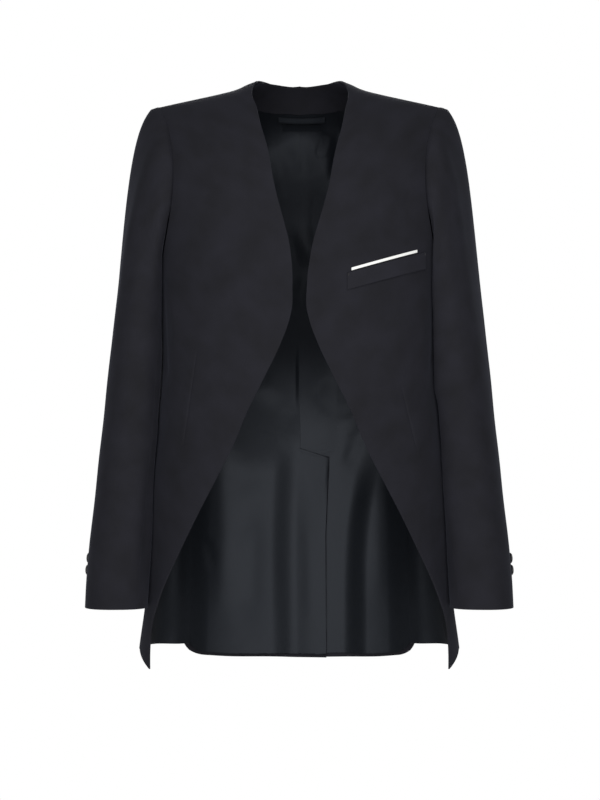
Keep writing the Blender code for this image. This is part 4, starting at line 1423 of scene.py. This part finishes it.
def colour_setting(name, description, text):
    kind = {"subtype": "COLOR", "min": 0, "max": 1}
    return FloatVectorProperty(name=name, description=description, default=hex_colour(text), **kind)


def number_setting(name, description, value, least=0.0, most=1.0, **kind):
    return FloatProperty(name=name, description=description, default=value, min=least, max=most, **kind)


class BlazerCloth(bpy.types.PropertyGroup):
    wool_dark: colour_setting("Wool, dark yarns", "Colour of the darker yarns", "17171B")
    wool_light: colour_setting("Wool, light yarns", "Colour of the lighter yarns", "202027")
    wool_gloss: number_setting("Wool gloss", "How much the wool reflects", 0.16, subtype="FACTOR")
    wool_nap: number_setting("Wool nap", "How much its nap lightens it", 0.12, subtype="FACTOR")
    rib: number_setting(
        "Twill rib",
        "Spacing of the drawn twill ribs",
        2.0 * MM,
        least=0.2 * MM,
        most=10 * MM,
        unit="LENGTH",
        precision=4,
    )
    lining_dark: colour_setting("Lining, dark", "Colour of the satin's darker threads", "090B0E")
    lining_light: colour_setting("Lining, light", "Colour of the satin's lighter threads", "12151A")
    lining_gloss: number_setting("Lining gloss", "How much the satin reflects", 0.145, subtype="FACTOR")


class BlazerTrims(bpy.types.PropertyGroup):
    button_colour: colour_setting("Button", "Colour of the buttons' lighter clouds", "1A1A1E")
    thread: number_setting(
        "Thread",
        "Thickness of the sewing thread",
        0.45 * MM,
        least=0.1 * MM,
        most=2 * MM,
        unit="LENGTH",
        precision=4,
    )


class BlazerStage(bpy.types.PropertyGroup):
    floor_colour: colour_setting("Floor", "Colour of the paper floor", "F6F6F6")
    floor_height: number_setting("Floor height", "Height of the floor", -1.25, -5, -0.8, unit="LENGTH")
    world: number_setting("Room light", "Strength of the even light all round", 0.17, 0, 10)
    key: number_setting(
        "Front light", "Power of the large soft light in front", 61.5, 0, 2000, unit="POWER"
    )
    camera_distance: number_setting(
        "Camera distance", "How far the camera stands", 3.0, 0.5, 10, unit="LENGTH"
    )
    lens: number_setting("Lens", "Focal length of the camera", 106.3, 10, 300, unit="CAMERA")


def wool_panel(name, arm, side):
    """A panel of the body in wool alone, with a seam on three edges."""
    layers = panel(name, arm)
    piece = shell(f"{name}_{arm}_cloth", layers, side, SHELL_WALL, wool_twill(), SEAMS)
    declare(layers)


class BLAZER_OT_fronts(bpy.types.Operator):
    """Make the two open fronts, with their darts"""

    bl_idname = "blazer.fronts"
    bl_label = "Fronts"

    def execute(self, context):
        for arm, side in ARMS:
            layers = panel("front", arm)
            cloth = (wool_twill(), lining_satin())
            seams = {"top": TUCK, "last": TUCK}
            piece = shell(
                f"front_{arm}_cloth", layers, side, FRONT_WALL, cloth, seams, FRONT_RIM,
                lined=lambda level, along: along > FACING_WIDTH,
            )
            declare(layers)
        return {"FINISHED"}


class BLAZER_OT_backs(bpy.types.Operator):
    """Make the two back panels, with the vent's underlap on the wearer's right one"""

    bl_idname = "blazer.backs"
    bl_label = "Backs"

    def execute(self, context):
        for arm, side in ARMS:
            wool_panel("back", arm, side)
        return {"FINISHED"}


class BLAZER_OT_sides(bpy.types.Operator):
    """Make the two side panels under the arms"""

    bl_idname = "blazer.sides"
    bl_label = "Side panels"

    def execute(self, context):
        for arm, side in ARMS:
            wool_panel("side", arm, side)
        return {"FINISHED"}


class BLAZER_OT_sleeves(bpy.types.Operator):
    """Make the top and under sleeves, lined from above the cuff's turn"""

    bl_idname = "blazer.sleeves"
    bl_label = "Sleeves"

    def execute(self, context):
        for arm, side in ARMS:
            for name, is_top in (("top", True), ("under", False)):
                layers = sleeve_sheet(arm, is_top)
                cloth = (wool_twill(), lining_satin())
                seams = SEAMS | {"top": HEAD_TUCK}
                piece = shell(
                    f"sleeve_{name}_{arm}_cloth", layers, side, SHELL_WALL, cloth, seams,
                    anchor=layers.shape[2] // 2,
                    lined=lambda level, along: level > CUFF_TURN_SHARE,
                )
                declare(layers)
        return {"FINISHED"}


class BLAZER_OT_linings(bpy.types.Operator):
    """Make the satin linings of the back and the side panels"""

    bl_idname = "blazer.linings"
    bl_label = "Linings"

    def execute(self, context):
        for arm, side in ARMS:
            for name, layers in (("back", lining_sheet(arm, side)), ("side", side_lining_sheet(arm, side))):
                piece = shell(
                    f"lining_{name}_{arm}_cloth", layers, side, LINING_WALL, lining_satin(),
                    SEAMS, THIN_RIM,
                )
                declare(layers)
        return {"FINISHED"}


class BLAZER_OT_neck(bpy.types.Operator):
    """Make the back neck facing, the hanger loop and the blank label"""

    bl_idname = "blazer.neck"
    bl_label = "Neck"

    def execute(self, context):
        layers = facing_sheet()
        facing = shell(
            "back_neck_facing_cloth", layers, 1, LINING_WALL, wool_twill(), rim=THIN_RIM,
            anchor=layers.shape[2] // 2,
        )
        declare(layers)
        label = label_sheet()
        shell("label_cloth", label, 1, LABEL_WALL, label_satin(), rim=LABEL_RIM, anchor=0)
        hanger_loop()
        return {"FINISHED"}


def hanger_loop():
    """A soft satin tube that is pressed flat where its two ends are sewn down."""
    share = np.linspace(-1, 1, LOOP_POINTS)
    places = LOOP_FROM + (share + 1) / 2 * (LOOP_TO - LOOP_FROM)
    sag = 1 - share**2
    middle = LOOP_GAP + LOOP_THICKNESS / 2
    points = [
        on_lining(place, LOOP_HEIGHT - LOOP_SAG * low, middle + LOOP_STAND * low)[0]
        for place, low in zip(places, sag)
    ]
    run = path_run(np.array(points)) * MM
    made = bmesh.new()
    weave = made.loops.layers.uv.new("weave")
    bmesh.ops.create_circle(made, segments=LOOP_SIDES, radius=0.5, cap_ends=True)
    end = made.faces[:]
    rim = [vert.co.copy() for vert in end[0].verts]
    for number, point in enumerate(points):
        if number > 0:
            end = bmesh.ops.extrude_discrete_faces(made, faces=end)["faces"]
        full = ease((1 - abs(share[number])) / LOOP_END)
        size = (LOOP_PINCH + (1 - LOOP_PINCH) * full) * LOOP_THICKNESS
        for vert, flat in zip(end[0].verts, rim):
            vert.co = Vector(point + np.array((0, flat.x * size, flat.y * LOOP_WIDTH))) * MM
    bmesh.ops.holes_fill(made, edges=made.edges)
    bmesh.ops.recalc_face_normals(made, faces=made.faces)
    for face in made.faces:
        for loop in face.loops:
            at = loop.vert.co
            loop[weave].uv = (at.z, np.interp(at.x / MM, [point[0] for point in points], run))
    return finished("hanger_loop_cloth", made, label_satin(), ["hanger_loop"], THIN_RIM)


class BLAZER_OT_pocket(bpy.types.Operator):
    """Make the breast welt, its bar tacks and the pale strip above it"""

    bl_idname = "blazer.pocket"
    bl_label = "Breast pocket"

    def execute(self, context):
        layers = band_sheet(WELT, WELT_WALL, WELT_ROWS, WELT_PUFF)
        # The welt's wool is the front's with both colours lightened: painted sheen
        wool = wool_twill("worsted_wool_twill_welt_painted_sheen", WELT_PAINTED_SHEEN)
        welt = shell("pocket_welt_cloth", layers, 1, WELT_WALL, wool, rim=WELT_RIM, anchor=0)
        declare(layers)
        strip = band_sheet(STRIP, STRIP_WALL, STRIP_ROWS, STRIP_PUFF)
        pale = pale_satin()
        shell("pocket_strip_cloth", strip, 1, STRIP_WALL, pale, rim=STRIP_RIM, anchor=0)
        thread = context.scene.blazer_trims.thread / MM
        out = WELT_WALL + LAYER_GAP + thread * TACK_LIFT
        places = []
        for end in (-1, 1):
            along = end * (WELT["length"] / 2 - TACK_INSET)
            for low in np.arange(-TACK_ROWS, TACK_ROWS + 1) * thread * STRAND_SPACING:
                top = WELT["width"] / 2 - TACK_DROP + low
                at, ahead = (band_place(WELT, place, top, out)[0] for place in (along, along + 1))
                places.append((at, ahead - at, TACK_WIDTH))
        stitches("welt_tacks", places, thread / 2, dark_thread())
        return {"FINISHED"}


class BLAZER_OT_buttons(bpy.types.Operator):
    """Make the four cuff buttons and the thread that holds each"""

    bl_idname = "blazer.buttons"
    bl_label = "Cuff buttons"

    def execute(self, context):
        thread = context.scene.blazer_trims.thread / MM
        for arm, side in ARMS:
            for number, stage in enumerate(BUTTON_STAGES, 1):
                place, way = sleeve_layers(np.array([math.radians(BUTTON_TURN)]), stage, arm)[:, 0]
                away = Vector(-way * (side, 1, 1))
                turned = away.to_track_quat("Z", "Y").to_matrix().to_4x4()
                seat = Matrix.Translation((Vector(place * (side, 1, 1)) + away * LAYER_GAP) * MM) @ turned
                name = f"cuff_button_{arm}_{number}"
                made = button_form()
                bmesh.ops.transform(made, matrix=seat, verts=made.verts)
                finished(f"{name}_turned", made, cast_polyester(), [name])
                made = button_thread(thread)
                bmesh.ops.transform(made, matrix=seat, verts=made.verts)
                finished(f"{name}_thread", made, dark_thread())
        return {"FINISHED"}


def rod(made, sides, radius, depth, middle):
    """Adds an upright rod, by its middle, in millimetres."""
    size = {"radius1": radius * MM, "radius2": radius * MM, "depth": depth * MM}
    matrix = Matrix.Translation(Vector(middle) * MM)
    bmesh.ops.create_cone(made, cap_ends=True, segments=sides, matrix=matrix, **size)


def button_form():
    """A turned button with a raised rim and four holes through its dish."""
    made = bmesh.new()
    verts = [made.verts.new(Vector((across, 0, height)) * MM) for across, height in BUTTON_PROFILE]
    edges = [made.edges.new(pair) for pair in zip(verts, verts[1:])]
    spin = {"axis": (0, 0, 1), "cent": (0, 0, 0), "steps": BUTTON_STEPS, "angle": 2 * HALF_TURN}
    bmesh.ops.spin(made, geom=[*verts, *edges], use_merge=True, **spin)
    bmesh.ops.remove_doubles(made, verts=made.verts, dist=WELD * MM)
    bmesh.ops.recalc_face_normals(made, faces=made.faces)
    blank = meshed("button_blank", made)
    drill = bmesh.new()
    for turn in range(4):
        at = Matrix.Rotation(turn * QUARTER_TURN, 4, "Z") @ Vector((HOLE_PLACE, HOLE_PLACE, 0))
        middle = (at.x, at.y, BUTTON_THICKNESS / 2)
        rod(drill, HOLE_SIDES, HOLE_RADIUS, 3 * BUTTON_THICKNESS, middle)
    cutter = meshed("button_drill", drill)
    cut = blank.modifiers.new("Holes", "BOOLEAN")
    cut.object = cutter
    cut.operation = "DIFFERENCE"
    bpy.context.view_layer.update()
    ready = blank.evaluated_get(bpy.context.evaluated_depsgraph_get()).to_mesh()
    form = bmesh.new()
    form.from_mesh(ready)
    for mesh in (blank.data, cutter.data):
        # The object that shows it goes with it
        bpy.data.meshes.remove(mesh)
    return form


def button_thread(thread):
    """Two bundles of thread over the dish, each strand bowed from hole to hole, and the shank."""
    made = bmesh.new()
    for across in (-1, 1):
        for strand in range(THREAD_STRANDS):
            shift = (strand - (THREAD_STRANDS - 1) / 2) * thread * STRAND_SPACING
            matrix = Matrix.Translation((HOLE_PLACE * MM, 0, 0))
            size = {"segments": STRAND_SIDES, "radius": thread / 2 * MM}
            ring = bmesh.ops.create_circle(made, matrix=matrix, **size)["verts"]
            edges = list({edge for vert in ring for edge in vert.link_edges})
            spin = {"axis": (0, -1, 0), "cent": (0, 0, 0), "steps": STRAND_STEPS, "angle": HALF_TURN}
            swept = bmesh.ops.spin(made, geom=[*ring, *edges], **spin)
            ends = {item for item in swept["geom_last"] if isinstance(item, bmesh.types.BMVert)}
            whole = reached(ring)
            lower = Vector((0, across * HOLE_PLACE + shift, DISH_HEIGHT - STRAND_SINK)) * MM
            flat = Matrix.Diagonal((1, 1, STRAND_FLATNESS, 1))
            bmesh.ops.transform(made, matrix=Matrix.Translation(lower) @ flat, verts=list(whole | ends))
    rod(made, SHANK_SIDES, HOLE_PLACE, SHANK_HEIGHT, (0, 0, -SHANK_HEIGHT / 2))
    bmesh.ops.holes_fill(made, edges=made.edges)
    bmesh.ops.recalc_face_normals(made, faces=made.faces)
    return made


def reached(verts):
    """The verts joined to these by edges."""
    found, waiting = set(verts), list(verts)
    while waiting:
        for edge in waiting.pop().link_edges:
            for vert in edge.verts:
                if vert not in found:
                    found.add(vert)
                    waiting.append(vert)
    return found


class BLAZER_OT_stage(bpy.types.Operator):
    """Make the paper floor, the soft studio light and the camera"""

    bl_idname = "blazer.stage"
    bl_label = "Studio"

    def execute(self, context):
        scene, stage = context.scene, context.scene.blazer_stage
        made = bmesh.new()
        bmesh.ops.create_grid(made, x_segments=FLOOR_SQUARES, y_segments=FLOOR_SQUARES, size=FLOOR_REACH)
        bmesh.ops.translate(made, vec=(0, 0, stage.floor_height), verts=made.verts)
        floor = meshed("floor", made)
        floor.data.materials.append(studio_paper())
        world = bpy.data.worlds.new("studio")
        world.use_nodes = True
        tree = world.node_tree
        # The backdrop is seen as pure white, and lights the blazer less than it shows
        seen = tree.nodes["Background"]
        seen.inputs["Color"].default_value = (1, 1, 1, 1)
        seen.inputs["Strength"].default_value = 1
        room = node(tree, "Background", {"Color": (1, 1, 1, 1), "Strength": stage.world})
        path = node(tree, "LightPath", {})
        inputs = {0: path.outputs["Is Camera Ray"], 1: room.outputs[0], 2: seen.outputs[0]}
        both = node(tree, "MixShader", inputs)
        tree.links.new(both.outputs[0], tree.nodes["World Output"].inputs["Surface"])
        scene.world = world
        for name, place, size, share in LIGHTS:
            light = bpy.data.lights.new(name, "AREA")
            light.shape = "RECTANGLE"
            light.size, light.size_y = size
            light.energy = stage.key * share
            lamp = placed(name, light)
            lamp.location = place
            lamp.rotation_euler = (AIM - Vector(place)).to_track_quat("-Z", "Y").to_euler()
        camera = placed("camera", bpy.data.cameras.new("camera"))
        camera.data.sensor_width = SENSOR_WIDTH
        camera.data.lens = stage.lens
        camera.location = (CAMERA_ACROSS, -stage.camera_distance, CAMERA_HEIGHT)
        camera.rotation_euler = (QUARTER_TURN, 0, 0)
        scene.camera = camera
        scene.view_settings.view_transform = "Standard"
        return {"FINISHED"}


class BLAZER_PT_tools(bpy.types.Panel):
    bl_idname = "BLAZER_PT_tools"
    bl_label = "Blazer"
    bl_space_type = "VIEW_3D"
    bl_region_type = "UI"
    bl_category = "Blazer"

    def draw(self, context):
        for name in GROUPS:
            settings = getattr(context.scene, name)
            box = self.layout.box()
            for prop in settings.bl_rna.properties:
                if prop.identifier not in ("rna_type", "name"):
                    box.prop(settings, prop.identifier)
        for operator in OPERATORS:
            self.layout.operator(operator.bl_idname)


GROUPS = {"blazer_cloth": BlazerCloth, "blazer_trims": BlazerTrims, "blazer_stage": BlazerStage}
OPERATORS = (
    BLAZER_OT_fronts,
    BLAZER_OT_backs,
    BLAZER_OT_sides,
    BLAZER_OT_sleeves,
    BLAZER_OT_linings,
    BLAZER_OT_neck,
    BLAZER_OT_pocket,
    BLAZER_OT_buttons,
    BLAZER_OT_stage,
)
CLASSES = (*GROUPS.values(), *OPERATORS, BLAZER_PT_tools)


def register():
    for one in CLASSES:
        bpy.utils.register_class(one)
    for name, group in GROUPS.items():
        setattr(bpy.types.Scene, name, PointerProperty(type=group))


def unregister():
    for name in GROUPS:
        delattr(bpy.types.Scene, name)
    for one in reversed(CLASSES):
        bpy.utils.unregister_class(one)


def main():
    register()
    for operator in OPERATORS:
        group, name = operator.bl_idname.split(".")
        getattr(getattr(bpy.ops, group), name)()


if __name__ == "__main__":
    main()
